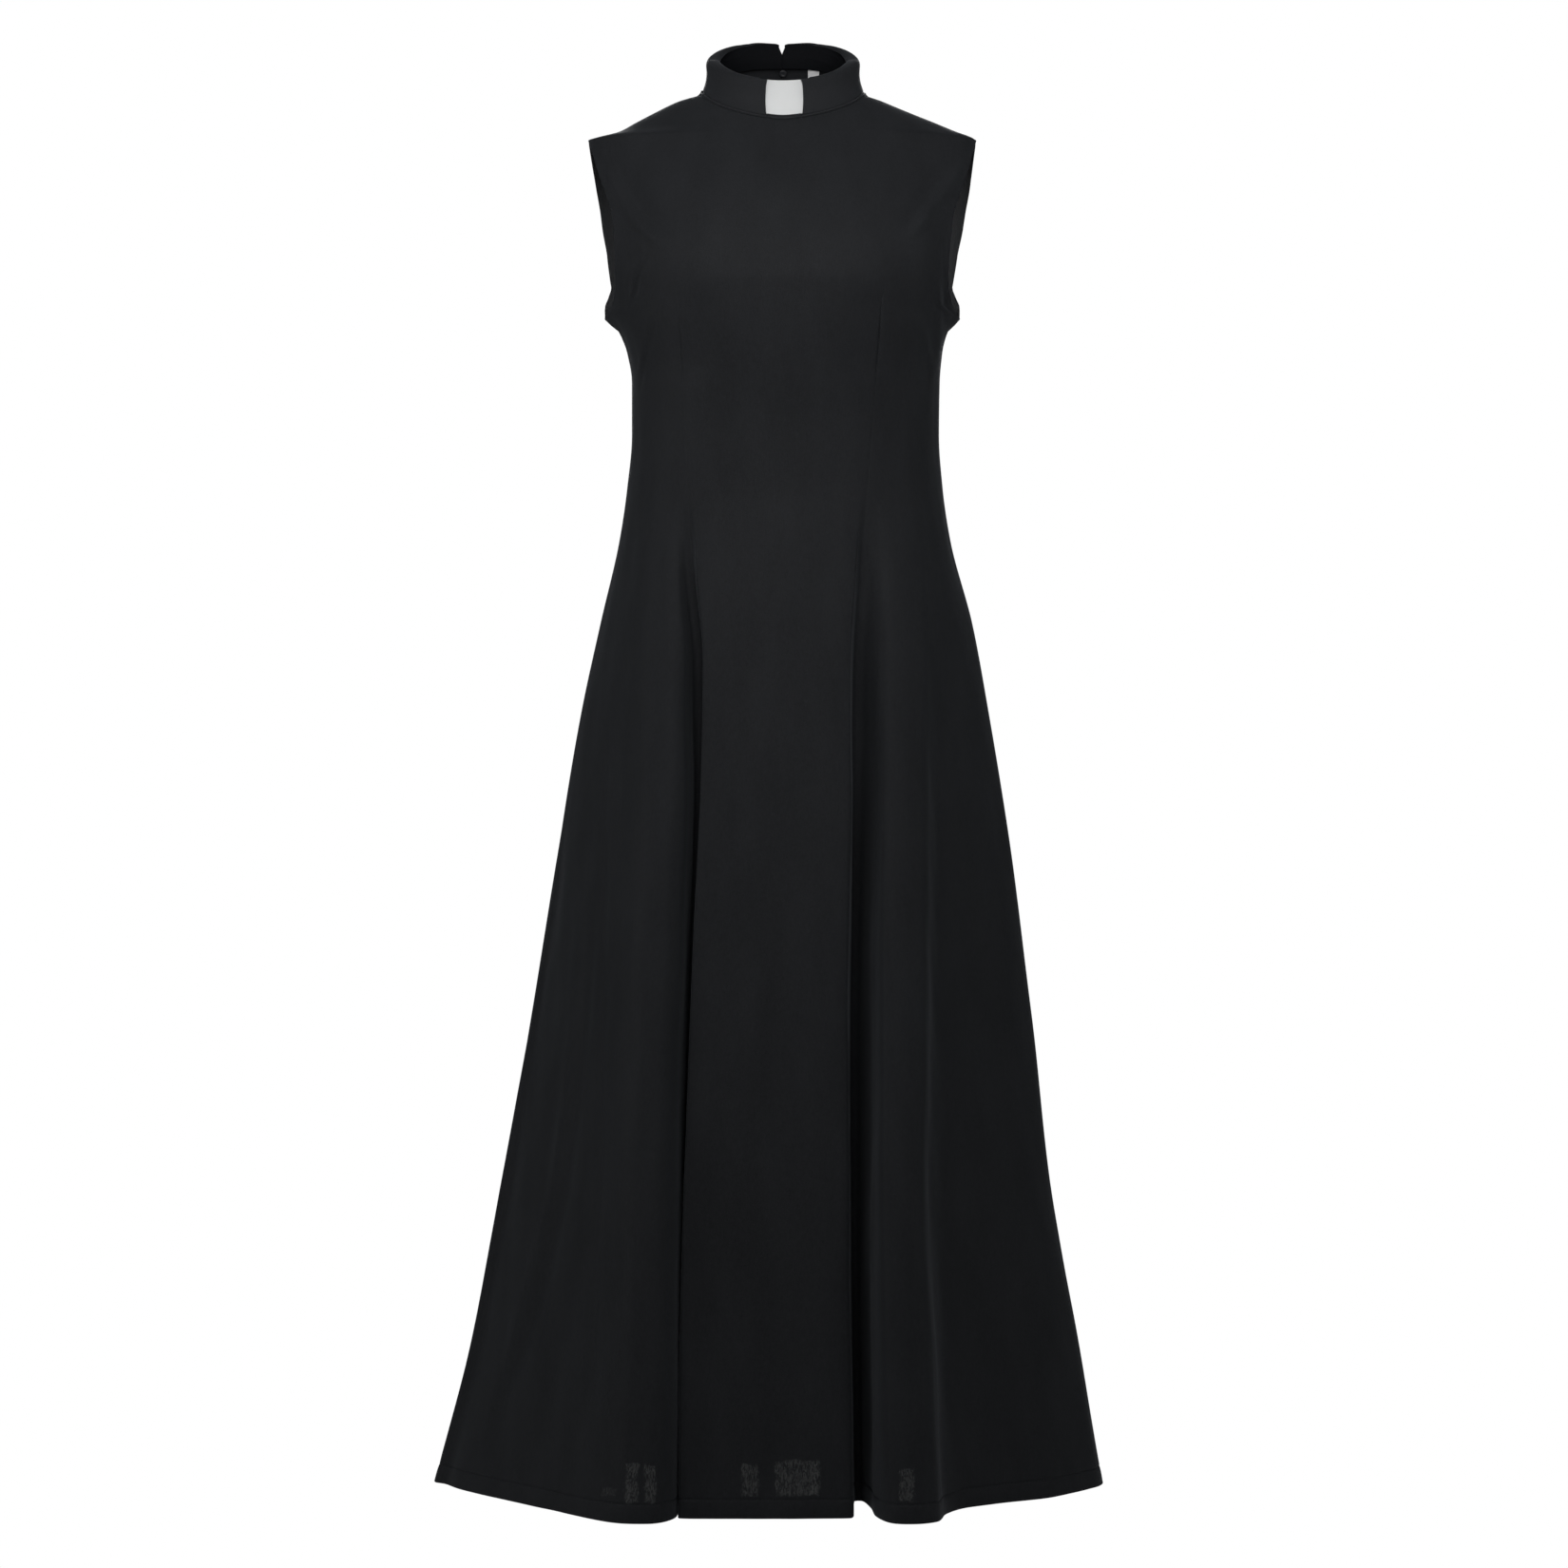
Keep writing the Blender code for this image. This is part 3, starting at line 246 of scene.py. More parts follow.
HEM_ROWS = (0.0270, 0.0230, 0.0200, 0.0185, 0.0175, 0.0168, 0.0162, 0.0156, 0.0150, 0.0140, 0.0120, 0.0090,
            0.0060, 0.0035, 0.0018, 0.0008, 0.0)
HEM_STITCH_HEIGHT = 0.0162
HEM_ALLOWANCE = 0.0160
WIDEST_SHARE = 0.022
WIDEST_HEM_STEP = 0.0075
HEM_RUN_SPOTS = 9
SEAM_COLUMNS = 8
SEAM_SPACING_POWER = 1.6
SEAM_SPACING_RUN = 0.012
TURN_NUDGE = 0.4
RING_NUDGE = 0.02
HEIGHT_NUDGE = 0.001
LEAST_LENGTH = 1e-12
ROW_SLACK = 1e-9
CLOTH_THICKNESS = 0.0011
DRAPE_STEPS = (-0.014, -0.007, 0.0, 0.007, 0.014)
DRAPE_START = (0.085, 0.140)
INNER_SLOT = 1
HEM_THICKNESS = 0.0021
HEM_TURN_EASE = 0.001
EDGE_DRAW_IN = 0.0005
EDGE_FLAT = 0.62
EDGE_ROUND = 0.72
SEAM_DIP = 0.0006
BUST_SEAM_SHARE = 0.55
SEAM_DIP_WIDTH = 0.0016
BUST_SEAM_CLEAR = (-0.165, -0.215)
BACK_SEAM_DIP = 0.0009


def read_table(columns, rows):
    """A table's columns by name."""
    return {name: np.array([row[place] for row in rows]) for place, name in enumerate(columns)}


def smooth_curve(knots, values, at):
    """A curve through the values that never swings past them."""
    steps = np.diff(knots)
    slopes = np.diff(values) / steps
    tangents = np.zeros(len(knots))
    same_way = slopes[:-1] * slopes[1:] > 0
    harmonic = 2.0 * slopes[:-1] * slopes[1:] / np.where(same_way, slopes[:-1] + slopes[1:], 1.0)
    tangents[1:-1] = np.where(same_way, harmonic, 0.0)
    tangents[0] = slopes[0]
    tangents[-1] = slopes[-1]
    place = np.clip(np.searchsorted(knots, at, side="right") - 1, 0, len(steps) - 1)
    step = steps[place]
    t = np.clip((at - knots[place]) / step, 0.0, 1.0)
    start = (1 + 2 * t) * (1 - t) ** 2 * values[place] + t * (1 - t) ** 2 * step * tangents[place]
    end = t ** 2 * (3 - 2 * t) * values[place + 1] + t ** 2 * (t - 1) * step * tangents[place + 1]
    return start + end


def by_height(table, name, height):
    """A column of a table that runs from the top down, at any height."""
    return smooth_curve(table["height"][::-1], table[name][::-1], np.asarray(height, dtype=float))


def body_depth(name, height):
    """Depth of the smooth form, with the cloth's bridging over the hollow under the bust."""
    exact = by_height(SECTION_TABLE, name, height)
    bridged = sum(by_height(SECTION_TABLE, name, height + step) for step in DRAPE_STEPS) / len(DRAPE_STEPS)
    return exact + (bridged - exact) * ease(-np.asarray(height, dtype=float), *DRAPE_START)


def ease(value, low, high):
    """0 below low, 1 above high, and a soft curve between."""
    t = np.clip((value - low) / (high - low), 0.0, 1.0)
    return t * t * (3.0 - 2.0 * t)


SECTION_TABLE = read_table(SECTION_COLUMNS, SECTIONS)
BUST_SEAM_TABLE = read_table(BUST_SEAM_COLUMNS, BUST_SEAMS)
ARMHOLE_TABLE = read_table(ARMHOLE_COLUMNS, ARMHOLES)
UNDERARM_FLARE_TABLE = read_table(UNDERARM_FLARE_COLUMNS, UNDERARM_FLARES)
PANEL_START = {}
GUIDE_COUNT = 0
for panel_name, fold_rows in PANEL_FOLDS:
    PANEL_START[panel_name] = GUIDE_COUNT
    GUIDE_COUNT += len(fold_rows)


def half_width(height, side):
    """Reach of the smooth form to the left or right of the origin."""
    left = by_height(SECTION_TABLE, "left", height)
    right = by_height(SECTION_TABLE, "right", height)
    return np.where(np.asarray(side) < 0, left, right)


def turn_at(sideways, height):
    """Turn from the front centre at which the level ring has this sideways place."""
    share = np.abs(sideways) / half_width(height, np.sign(sideways))
    power = by_height(SECTION_TABLE, "squareness", height) / 2.0
    return np.sign(sideways) * np.degrees(np.arcsin(np.clip(share, 0.0, 1.0) ** power))


def body_point(turn, height):
    """Point of the smooth form, with no skirt folds."""
    turn, height = np.broadcast_arrays(np.asarray(turn, dtype=float), np.asarray(height, dtype=float))
    angle = np.radians(turn)
    power = 2.0 / by_height(SECTION_TABLE, "squareness", height)
    sine = np.sin(angle)
    cosine = np.cos(angle)
    depth = np.where(cosine > 0, body_depth("front", height), body_depth("back", height))
    across = np.sign(sine) * half_width(height, sine) * np.abs(sine) ** power
    along = -np.sign(cosine) * depth * np.abs(cosine) ** power
    reach = np.where(height < UNDERARM_FLARES[-1][0], 0.0, by_height(UNDERARM_FLARE_TABLE, "reach", height))
    across = across + np.sign(sine) * reach * np.exp(-(along / UNDERARM_FLARE_DEPTH) ** 2)
    return np.stack([across, along, height], axis=-1)


def seam_turns(height):
    """Turns of the two bust seams."""
    left = turn_at(by_height(BUST_SEAM_TABLE, "left", height), height)
    right = turn_at(by_height(BUST_SEAM_TABLE, "right", height), height)
    return left, right


def fold_opening(height):
    """How far the skirt's folds have opened: 0 at the waist, 1 at the hem."""
    drop = np.clip((FLARE_TOP - np.asarray(height, dtype=float)) / (FLARE_TOP - HEM_HEIGHT), 0.0, 1.0)
    return (1.0 - (1.0 - drop) ** FOLD_OPENING_POWER) * ease(drop, 0.0, FOLD_SOFT_START)


def guide_points(guide, height):
    """Turn on the smooth form, and place in the folded skirt, of one guide at each height."""
    guide = guide % GUIDE_COUNT
    name = [panel for panel, _ in PANEL_FOLDS if PANEL_START[panel] <= guide][-1]
    share, across, aside, depth = dict(PANEL_FOLDS)[name][guide - PANEL_START[name]]
    seam_left, seam_right = seam_turns(height)
    fold_left = by_height(BUST_SEAM_TABLE, "left", height)
    fold_right = by_height(BUST_SEAM_TABLE, "right", height)
    left = half_width(height, -1)
    right = half_width(height, 1)
    front = body_depth("front", height)
    back = body_depth("back", height)
    if name == "back_left":
        return -180.0 + 90.0 * share + 0 * height, -left * across + aside, back * depth
    if name == "back_right":
        return 180.0 - 90.0 * share + 0 * height, right * across + aside, back * depth
    if name == "side_front_left":
        turn = seam_left + (-90.0 - seam_left) * share
        return turn, fold_left - (left + fold_left) * across + aside, -front * depth
    if name == "side_front_right":
        turn = seam_right + (90.0 - seam_right) * share
        return turn, fold_right + (right - fold_right) * across + aside, -front * depth
    turn = seam_left + (seam_right - seam_left) * (share + 1.0) / 2.0
    return turn, fold_left + (fold_right - fold_left) * across + aside, -front * depth


def ring_point(ring_place, height):
    """Point of the dress at places along the ring of guides, below the underarm."""
    ring_place, height = np.broadcast_arrays(np.asarray(ring_place, dtype=float),
                                             np.asarray(height, dtype=float))
    levels, level = np.unique(height, return_inverse=True)
    level = level.reshape(height.shape)
    turns = np.empty((GUIDE_COUNT + 3, len(levels)))
    across = np.empty_like(turns)
    along = np.empty_like(turns)
    for guide in range(-1, GUIDE_COUNT + 2):
        turn, across[guide + 1], along[guide + 1] = guide_points(guide, levels)
        turns[guide + 1] = turn + 360.0 * math.floor(guide / GUIDE_COUNT)
    first = np.clip(np.floor(ring_place).astype(int), 0, GUIDE_COUNT - 1)
    t = ring_place - first

    def between(values):
        before, start, end, after = (values[first + k, level] for k in range(4))
        curve = 2 * start + (end - before) * t
        curve += (2 * before - 5 * start + 4 * end - after) * t ** 2
        curve += (3 * start - before - 3 * end + after) * t ** 3
        return curve / 2.0

    smooth = body_point(between(turns), height)
    folded = np.stack([between(across), between(along), height], axis=-1)
    return smooth + (folded - smooth) * fold_opening(height)[..., None]


def unit(vectors):
    return vectors / np.maximum(np.linalg.norm(vectors, axis=-1, keepdims=True), LEAST_LENGTH)


def outward(point_at, first, height, nudge):
    """Direction square to the cloth and out of it, from points a nudge away on each side."""
    round_step = point_at(first + nudge, height) - point_at(first - nudge, height)
    down_step = point_at(first, height - HEIGHT_NUDGE) - point_at(first, height + HEIGHT_NUDGE)
    return unit(np.cross(down_step, round_step))


def panel_columns(name):
    """Places of a panel's columns along the ring of guides, closer beside its seams, and their shares."""
    rows = dict(PANEL_FOLDS)[name]
    shares = [row[0] for row in rows] + [PANEL_FAR_SHARE[name]]
    places = []
    for guide in range(len(rows)):
        between = PANEL_START[name] + guide + np.linspace(0.0, 1.0, HEM_RUN_SPOTS)
        spots = ring_point(between, np.full(HEM_RUN_SPOTS, HEM_HEIGHT))
        run = np.linalg.norm(np.diff(spots, axis=0), axis=1).sum()
        share_step = abs(shares[guide + 1] - shares[guide])
        steps = max(math.ceil(share_step / WIDEST_SHARE), math.ceil(run / WIDEST_HEM_STEP))
        power = SEAM_SPACING_POWER if run > SEAM_SPACING_RUN else 1.0
        if guide in (0, len(rows) - 1):
            steps = max(steps, SEAM_COLUMNS)
        t = np.arange(steps) / steps
        if guide == 0:
            t = t ** power
        if guide == len(rows) - 1:
            t = 1.0 - (1.0 - t) ** power
        places += list(guide + t)
    places = np.array(places + [float(len(rows))])
    return PANEL_START[name] + places, np.interp(places, np.arange(len(shares)), shares)


def neck_rise(cosine, in_front):
    """Rise of the neckline from its lowest point at the centre, 0, to the shoulder, 1."""
    power = np.where(in_front, NECKLINE_FRONT_POWER, NECKLINE_BACK_POWER)
    settle = np.where(in_front, 1.0, NECKLINE_BACK_EASE)
    return 1.0 - (1.0 - (1.0 - np.abs(cosine)) ** power) ** settle


def upper_edge(part, height, side):
    """Half width of the front or back panel: at its shoulder, armhole or bust seam."""
    width = half_width(height, side)
    if height >= ARMHOLES[0][0]:
        return width
    if part == "front" and height < BUST_SEAM_TOP:
        return np.abs(by_height(BUST_SEAM_TABLE, "left" if side < 0 else "right", height))
    return width * by_height(ARMHOLE_TABLE, part, height)


def cross_line(part, outer, centre, shares, neckness):
    """Turns and heights along one cross line of the bodice; near the neck it keeps the neckline's curve."""
    sides = np.where(shares < 0, -1.0, 1.0)
    power = 2.0 / by_height(SECTION_TABLE, "squareness", outer)
    reach = np.where(sides < 0, upper_edge(part, outer, -1), upper_edge(part, outer, 1))
    reach_turn = np.radians(np.abs(turn_at(sides * reach, outer)))
    across = (np.sin(np.abs(shares) * reach_turn) / np.sin(reach_turn)) ** power
    level_rise = across * across * (3.0 - 2.0 * across)
    neckline = neck_rise(np.cos(shares * math.pi / 2.0), part == "front")
    rise = neckness * neckline + (1.0 - neckness) * level_rise
    heights = centre + (outer - centre) * rise
    turns = turn_at(sides * reach * across, heights)
    if part == "back":
        turns = sides * (180.0 - np.abs(turns))
    return turns, heights


def panel_surface(name):
    """A panel's outer face as rows of points from top to hem, its outward directions and its rows' heights."""
    stations, shares = panel_columns(name)
    part = "back" if name.startswith("back") else "front"
    lines = BACK_CROSS_LINES if part == "back" else FRONT_CROSS_LINES
    fade = NECKLINE_BACK_FADE if part == "back" else NECKLINE_FRONT_FADE
    whole = np.arange(len(lines))
    places = np.arange((len(lines) - 1) * ROWS_BETWEEN_LINES + 1) / ROWS_BETWEEN_LINES
    outers = np.interp(places, whole, [line[0] for line in lines])
    centres = np.interp(places, whole, [line[1] for line in lines])
    points = []
    directions = []
    tops = []
    for place, outer, centre in zip(places, outers, centres):
        if name.startswith("side") and outer >= BUST_SEAM_TOP:
            continue
        if name.startswith("side"):
            side = -1 if name.endswith("left") else 1
            seam = seam_turns(outer)[0 if side < 0 else 1]
            edge = turn_at(side * half_width(outer, side) * by_height(ARMHOLE_TABLE, "front", outer), outer)
            turns = seam + (edge - seam) * shares
            heights = np.full(len(shares), outer)
        else:
            sides = -shares if name == "back_left" else shares
            turns, heights = cross_line(part, outer, centre, sides, max(0.0, 1.0 - place / fade))
        points.append(body_point(turns, heights))
        directions.append(outward(body_point, turns, heights, TURN_NUDGE))
        tops.append(outer)
    hem_top = HEM_HEIGHT + HEM_ROWS[0]
    steps = math.ceil((UNDERARM_HEIGHT - hem_top) / SKIRT_ROW_STEP)
    skirt_heights = list(np.linspace(UNDERARM_HEIGHT, hem_top, steps + 1)[:-1])
    skirt_heights += [HEM_HEIGHT + up for up in HEM_ROWS]
    places, heights = np.meshgrid(stations, skirt_heights)
    points = np.concatenate([points, ring_point(places, heights)])
    directions = np.concatenate([directions, outward(ring_point, places, heights, RING_NUDGE)])
    return points, directions, np.array(tops + skirt_heights)


# Creases: the panels that each crosses, whether it is a ridge or a step with its high side on the left of its
# path, its half width and height in millimetres, and its path as columns and rows of the front picture
BODICE = ("front_centre", "side_front_left", "side_front_right")
LEFT_FRONT = ("side_front_left",)
RIGHT_FRONT = ("side_front_right",)
BACKS = ("back_left", "back_right")
CREASES = (
    (BODICE, "ridge", 6.0, 3.0, ((630, 166), (637, 180), (657, 213), (673, 237), (690, 252), (704, 262))),
    (BODICE, "ridge", 10.0, -2.5, ((646, 166), (660, 196), (682, 226), (708, 250))),
    (BODICE, "ridge", 6.0, 2.8, ((1022, 162), (1006, 184), (992, 202), (979, 220), (965, 240), (950, 256))),
    (BODICE, "ridge", 10.0, -2.4, ((1004, 166), (986, 194), (966, 222), (944, 248))),
    (BODICE, "ridge", 12.0, 0.8, ((690, 290), (760, 290), (826, 289), (890, 290), (960, 290))),
    (LEFT_FRONT, "step", 2.6, 1.9, ((663, 323), (666.7, 310), (670, 288), (675, 280), (684, 262))),
    (LEFT_FRONT, "step", 2.6, 1.5, ((671, 412), (675, 390), (684, 350), (687, 331), (688, 318))),
    (RIGHT_FRONT, "ridge", 3.4, 1.8, ((981, 272), (984, 284), (989, 324), (987, 360), (983, 392),
                                      (980, 416))),
    (RIGHT_FRONT, "ridge", 3.0, 1.5, ((962, 326), (968, 340), (975, 360), (979, 379), (981, 400))),
    (RIGHT_FRONT, "ridge", 3.0, -1.3, ((993, 226), (994, 260), (995, 300), (996, 328), (999, 343),
                                       (1001, 362))),
    (("front_centre",), "ridge", 15.0, -2.4, ((741, 296), (737, 330), (735, 360), (739, 410))),
    (("front_centre",), "ridge", 15.0, -2.0, ((913, 296), (919, 330), (923, 360), (920, 410))),
    (("front_centre", "side_front_left"), "ridge", 11.0, -2.0,
     ((712, 470), (718, 540), (724, 640), (729, 740), (728, 840))),
    (("front_centre", "side_front_right"), "ridge", 11.0, -1.8,
     ((910, 480), (907, 560), (904, 660), (901, 760), (899, 860))),
    (("front_centre",), "ridge", 3.0, 0.5, ((741, 108), (744, 118), (750, 127))),
    (("front_centre",), "ridge", 3.0, -0.4, ((748, 112), (752, 120), (759, 128))),
    (("front_centre",), "ridge", 3.0, 0.4, ((756, 116), (760, 123), (768, 131))),
    (("front_centre",), "ridge", 3.0, 0.4, ((900, 118), (896, 126), (888, 134))),
    (LEFT_FRONT, "step", 8.0, 3.0, ((496, 1560), (521, 1485), (544, 1425), (567, 1340), (586, 1264),
                                    (601, 1165), (610, 1071), (615, 1000), (618, 900))),
    (LEFT_FRONT, "ridge", 3.5, -0.7, ((641, 700), (638, 850), (636, 1000), (633, 1200), (628, 1400),
                                      (622, 1520))),
    (LEFT_FRONT, "ridge", 12.0, 1.5, ((560, 900), (545, 1050), (520, 1250), (490, 1450))),
    (LEFT_FRONT, "ridge", 14.0, -1.8, ((585, 760), (575, 950), (557, 1150), (528, 1340), (505, 1460))),
    (RIGHT_FRONT, "ridge", 32.0, 2.2, ((972, 860), (973, 1000), (973, 1200), (976, 1400), (978, 1580))),
    (RIGHT_FRONT, "ridge", 2.6, 0.5, ((1030, 930), (1029, 1050), (1031, 1200), (1033, 1350), (1034, 1480))),
    (RIGHT_FRONT, "ridge", 13.0, 1.8, ((1046, 900), (1059, 1044), (1074, 1150), (1089, 1260), (1104, 1400))),
    (RIGHT_FRONT, "ridge", 13.0, -1.6, ((1020, 760), (1046, 980), (1060, 1180), (1072, 1380), (1078, 1520))),
    (RIGHT_FRONT, "ridge", 10.0, 1.0, ((1096, 1240), (1112, 1380), (1128, 1500))),
    (("front_centre",), "ridge", 22.0, 0.9, ((786, 560), (783, 800), (780, 1100), (776, 1450))),
    (("front_centre",), "ridge", 26.0, -0.9, ((826, 620), (828, 900), (830, 1200), (826, 1500))),
    (("front_centre",), "ridge", 20.0, 0.7, ((862, 700), (866, 1000), (868, 1300), (866, 1540))),
    (BACKS, "ridge", 9.0, -1.4, ((650, 190), (690, 236), (722, 262), (760, 282))),
    (BACKS, "ridge", 8.0, 1.2, ((646, 214), (684, 256), (714, 286), (742, 300))),
    (BACKS, "ridge", 9.0, -1.3, ((1002, 186), (964, 234), (930, 258), (890, 278))),
    (BACKS, "ridge", 8.0, 1.1, ((1004, 210), (968, 254), (940, 280), (912, 298))),
    (BACKS, "ridge", 7.0, -1.2, ((672, 330), (700, 356), (736, 368), (776, 370))),
    (BACKS, "ridge", 7.0, -1.2, ((984, 338), (952, 362), (914, 374), (870, 376))),
    (BACKS, "ridge", 6.0, 1.0, ((668, 398), (700, 412), (740, 420))),
    (BACKS, "ridge", 6.0, 1.0, ((988, 400), (956, 416), (916, 424))),
    (BACKS, "step", 8.0, 2.0, ((560, 1540), (584, 1400), (612, 1200), (632, 1000), (644, 840))),
    (BACKS, "step", 8.0, 2.0, ((1010, 840), (1030, 1010), (1046, 1210), (1064, 1410), (1076, 1540))),
    (BACKS, "ridge", 14.0, -1.6, ((720, 640), (712, 880), (704, 1120), (698, 1400))),
    (BACKS, "ridge", 14.0, -1.5, ((934, 660), (944, 900), (954, 1140), (962, 1420))),
    (BACKS, "ridge", 12.0, 1.2, ((770, 800), (768, 1050), (764, 1300), (760, 1500))),
    (BACKS, "ridge", 12.0, 1.2, ((884, 820), (888, 1070), (894, 1320), (898, 1500))),
)
CREASE_FADE = 0.28
CREASE_STEP_REACH = 2.0
CREASE_STEP_SCALE = 1.6
# Slow rolling of the cloth: waves round the dress, turns a metre down it, start, and height in millimetres
ROLLS = ((17, 3.1, 0.6, 0.42), (29, -4.3, 2.2, 0.28), (43, 6.7, 4.0, 0.17), (7, 1.7, 5.1, 0.55))
BODICE_ROLL_SHARE = 0.45
ROLL_GROWTH = (0.3, 0.9)
ROLL_SEAM_CALM = 0.02
ROLL_SHOULDER_CALM = (-0.05, 0.05)
HEM_PUCKER = 0.00022
HEM_PUCKER_REACH = 0.006
HEM_PUCKER_WAVES = 260
HEM_PUCKER_DRIFT = 1.3
HEM_PUCKER_DRIFT_WAVES = 19
HEM_GROOVE = 0.00045
HEM_GROOVE_WIDTH = 0.0008
HEM_FULLNESS = 0.0004
HEM_FULLNESS_HEIGHT = 0.010
MILLIMETRE = 0.001
PICTURE_MILLIMETRES = 0.9


def picture_place(points):
    """Column and row of each point in the front picture."""
    reach = (points[..., 1] - CAMERA_PLACE[1]) / FOCAL_PIXELS
    column = PICTURE_CENTRE + (points[..., 0] - CAMERA_PLACE[0]) / reach
    row = PICTURE_CENTRE - (points[..., 2] - CAMERA_PLACE[2]) / reach
    return np.stack([column, row], axis=-1)


def crease_lift(seen, kind, half, path):
    """How far one crease lifts each point, as a share of its height."""
    path = np.array(path, dtype=float)
    runs = np.linalg.norm(np.diff(path, axis=0), axis=1)
    starts = np.concatenate([[0.0], np.cumsum(runs)])
    nearest = np.full(seen.shape[:-1], np.inf)
    across = np.zeros_like(nearest)
    along = np.zeros_like(nearest)
    for place, run in enumerate(runs):
        heading = (path[place + 1] - path[place]) / run
        offset = seen - path[place]
        reach = np.clip(offset @ heading, 0.0, run)
        gap = offset - reach[..., None] * heading
        distance = np.linalg.norm(gap, axis=-1)
        closer = distance < nearest
        nearest = np.where(closer, distance, nearest)
        across = np.where(closer, heading[0] * gap[..., 1] - heading[1] * gap[..., 0], across)
        along = np.where(closer, (starts[place] + reach) / starts[-1], along)
    width = half / PICTURE_MILLIMETRES
    fading = ease(along, 0.0, CREASE_FADE) * ease(1.0 - along, 0.0, CREASE_FADE)
    spread = np.exp(-(nearest / width) ** 2)
    if kind == "step":
        away = np.where(across < 0, nearest, -nearest) / width
        return fading * np.clip(away, -CREASE_STEP_REACH, CREASE_STEP_REACH) * spread * CREASE_STEP_SCALE
    return fading * spread


def edge_distances(points):
    """Distance of each point from its row's first and last points."""
    steps = np.linalg.norm(np.diff(points, axis=1), axis=-1)
    first = np.concatenate([np.zeros((len(points), 1)), np.cumsum(steps, axis=1)], axis=1)
    return first, first[:, -1:] - first


def dressed_panel(name):
    """A panel's outer face with its seams, creases and hem, the outward directions, and its thickness."""
    points, directions, outers = panel_surface(name)
    above_hem = points[..., 2] - HEM_HEIGHT
    first, last = edge_distances(points)
    lift = np.zeros(points.shape[:2])
    shoulder = outers >= ARMHOLES[0][0] - ROW_SLACK
    below = outers < ARMHOLES[-1][0] + ROW_SLACK
    bust = outers < BUST_SEAM_TOP
    seamed = {"front_centre": (shoulder | bust, shoulder | bust), "side_front_left": (below, bust),
              "side_front_right": (bust, below), "back_left": (bust | ~bust, shoulder | below),
              "back_right": (shoulder | below, bust | ~bust)}[name]
    plain = BUST_SEAM_SHARE * ease(-outers, -BUST_SEAM_CLEAR[0], -BUST_SEAM_CLEAR[1])
    dips = {"front_centre": (plain, plain), "side_front_left": (1.0, plain), "side_front_right": (plain, 1.0),
            "back_left": (BACK_SEAM_DIP / SEAM_DIP, 1.0), "back_right": (1.0, BACK_SEAM_DIP / SEAM_DIP)}[name]
    for distance, rows, dip in ((first, seamed[0], dips[0]), (last, seamed[1], dips[1])):
        lift -= SEAM_DIP * np.exp(-(distance / SEAM_DIP_WIDTH) ** 2) * (rows * dip)[:, None]
    seen = picture_place(points)
    for panels, kind, half, height, path in CREASES:
        if name in panels:
            lift += height * MILLIMETRE * crease_lift(seen, kind, half, path)
    angle = np.arctan2(points[..., 0], -points[..., 1])
    strength = BODICE_ROLL_SHARE + (1.0 - BODICE_ROLL_SHARE) * ease(-points[..., 2], *ROLL_GROWTH)
    calm = ease(np.minimum(first, last), 0.0, ROLL_SEAM_CALM) * ease(-points[..., 2], *ROLL_SHOULDER_CALM)
    for waves, turns, start, height in ROLLS:
        phase = waves * angle + 2.0 * math.pi * turns * points[..., 2] + start
        lift += height * MILLIMETRE * strength * calm * np.sin(phase)
    above_stitches = above_hem - HEM_STITCH_HEIGHT
    near_stitches = np.exp(-(above_stitches / HEM_PUCKER_REACH) ** 2)
    drift = HEM_PUCKER_DRIFT * np.sin(HEM_PUCKER_DRIFT_WAVES * angle)
    lift += HEM_PUCKER * near_stitches * np.sin(HEM_PUCKER_WAVES * angle + drift)
    lift -= HEM_GROOVE * np.exp(-(above_stitches / HEM_GROOVE_WIDTH) ** 2)
    lift += HEM_FULLNESS * ease(-above_hem, -HEM_STITCH_HEIGHT, -HEM_FULLNESS_HEIGHT)
    turned_up = ease(-above_hem, -HEM_ALLOWANCE - HEM_TURN_EASE, -HEM_ALLOWANCE + HEM_TURN_EASE)
    thickness = CLOTH_THICKNESS + (HEM_THICKNESS - CLOTH_THICKNESS) * turned_up
    drawn = points + directions * lift[..., None]
    for edge, inner, rows in ((0, 1, seamed[0]), (-1, -2, seamed[1])):
        drawn[:, edge] += unit(points[:, inner] - points[:, edge]) * (EDGE_DRAW_IN * ~rows)[:, None]
    return drawn, directions, thickness


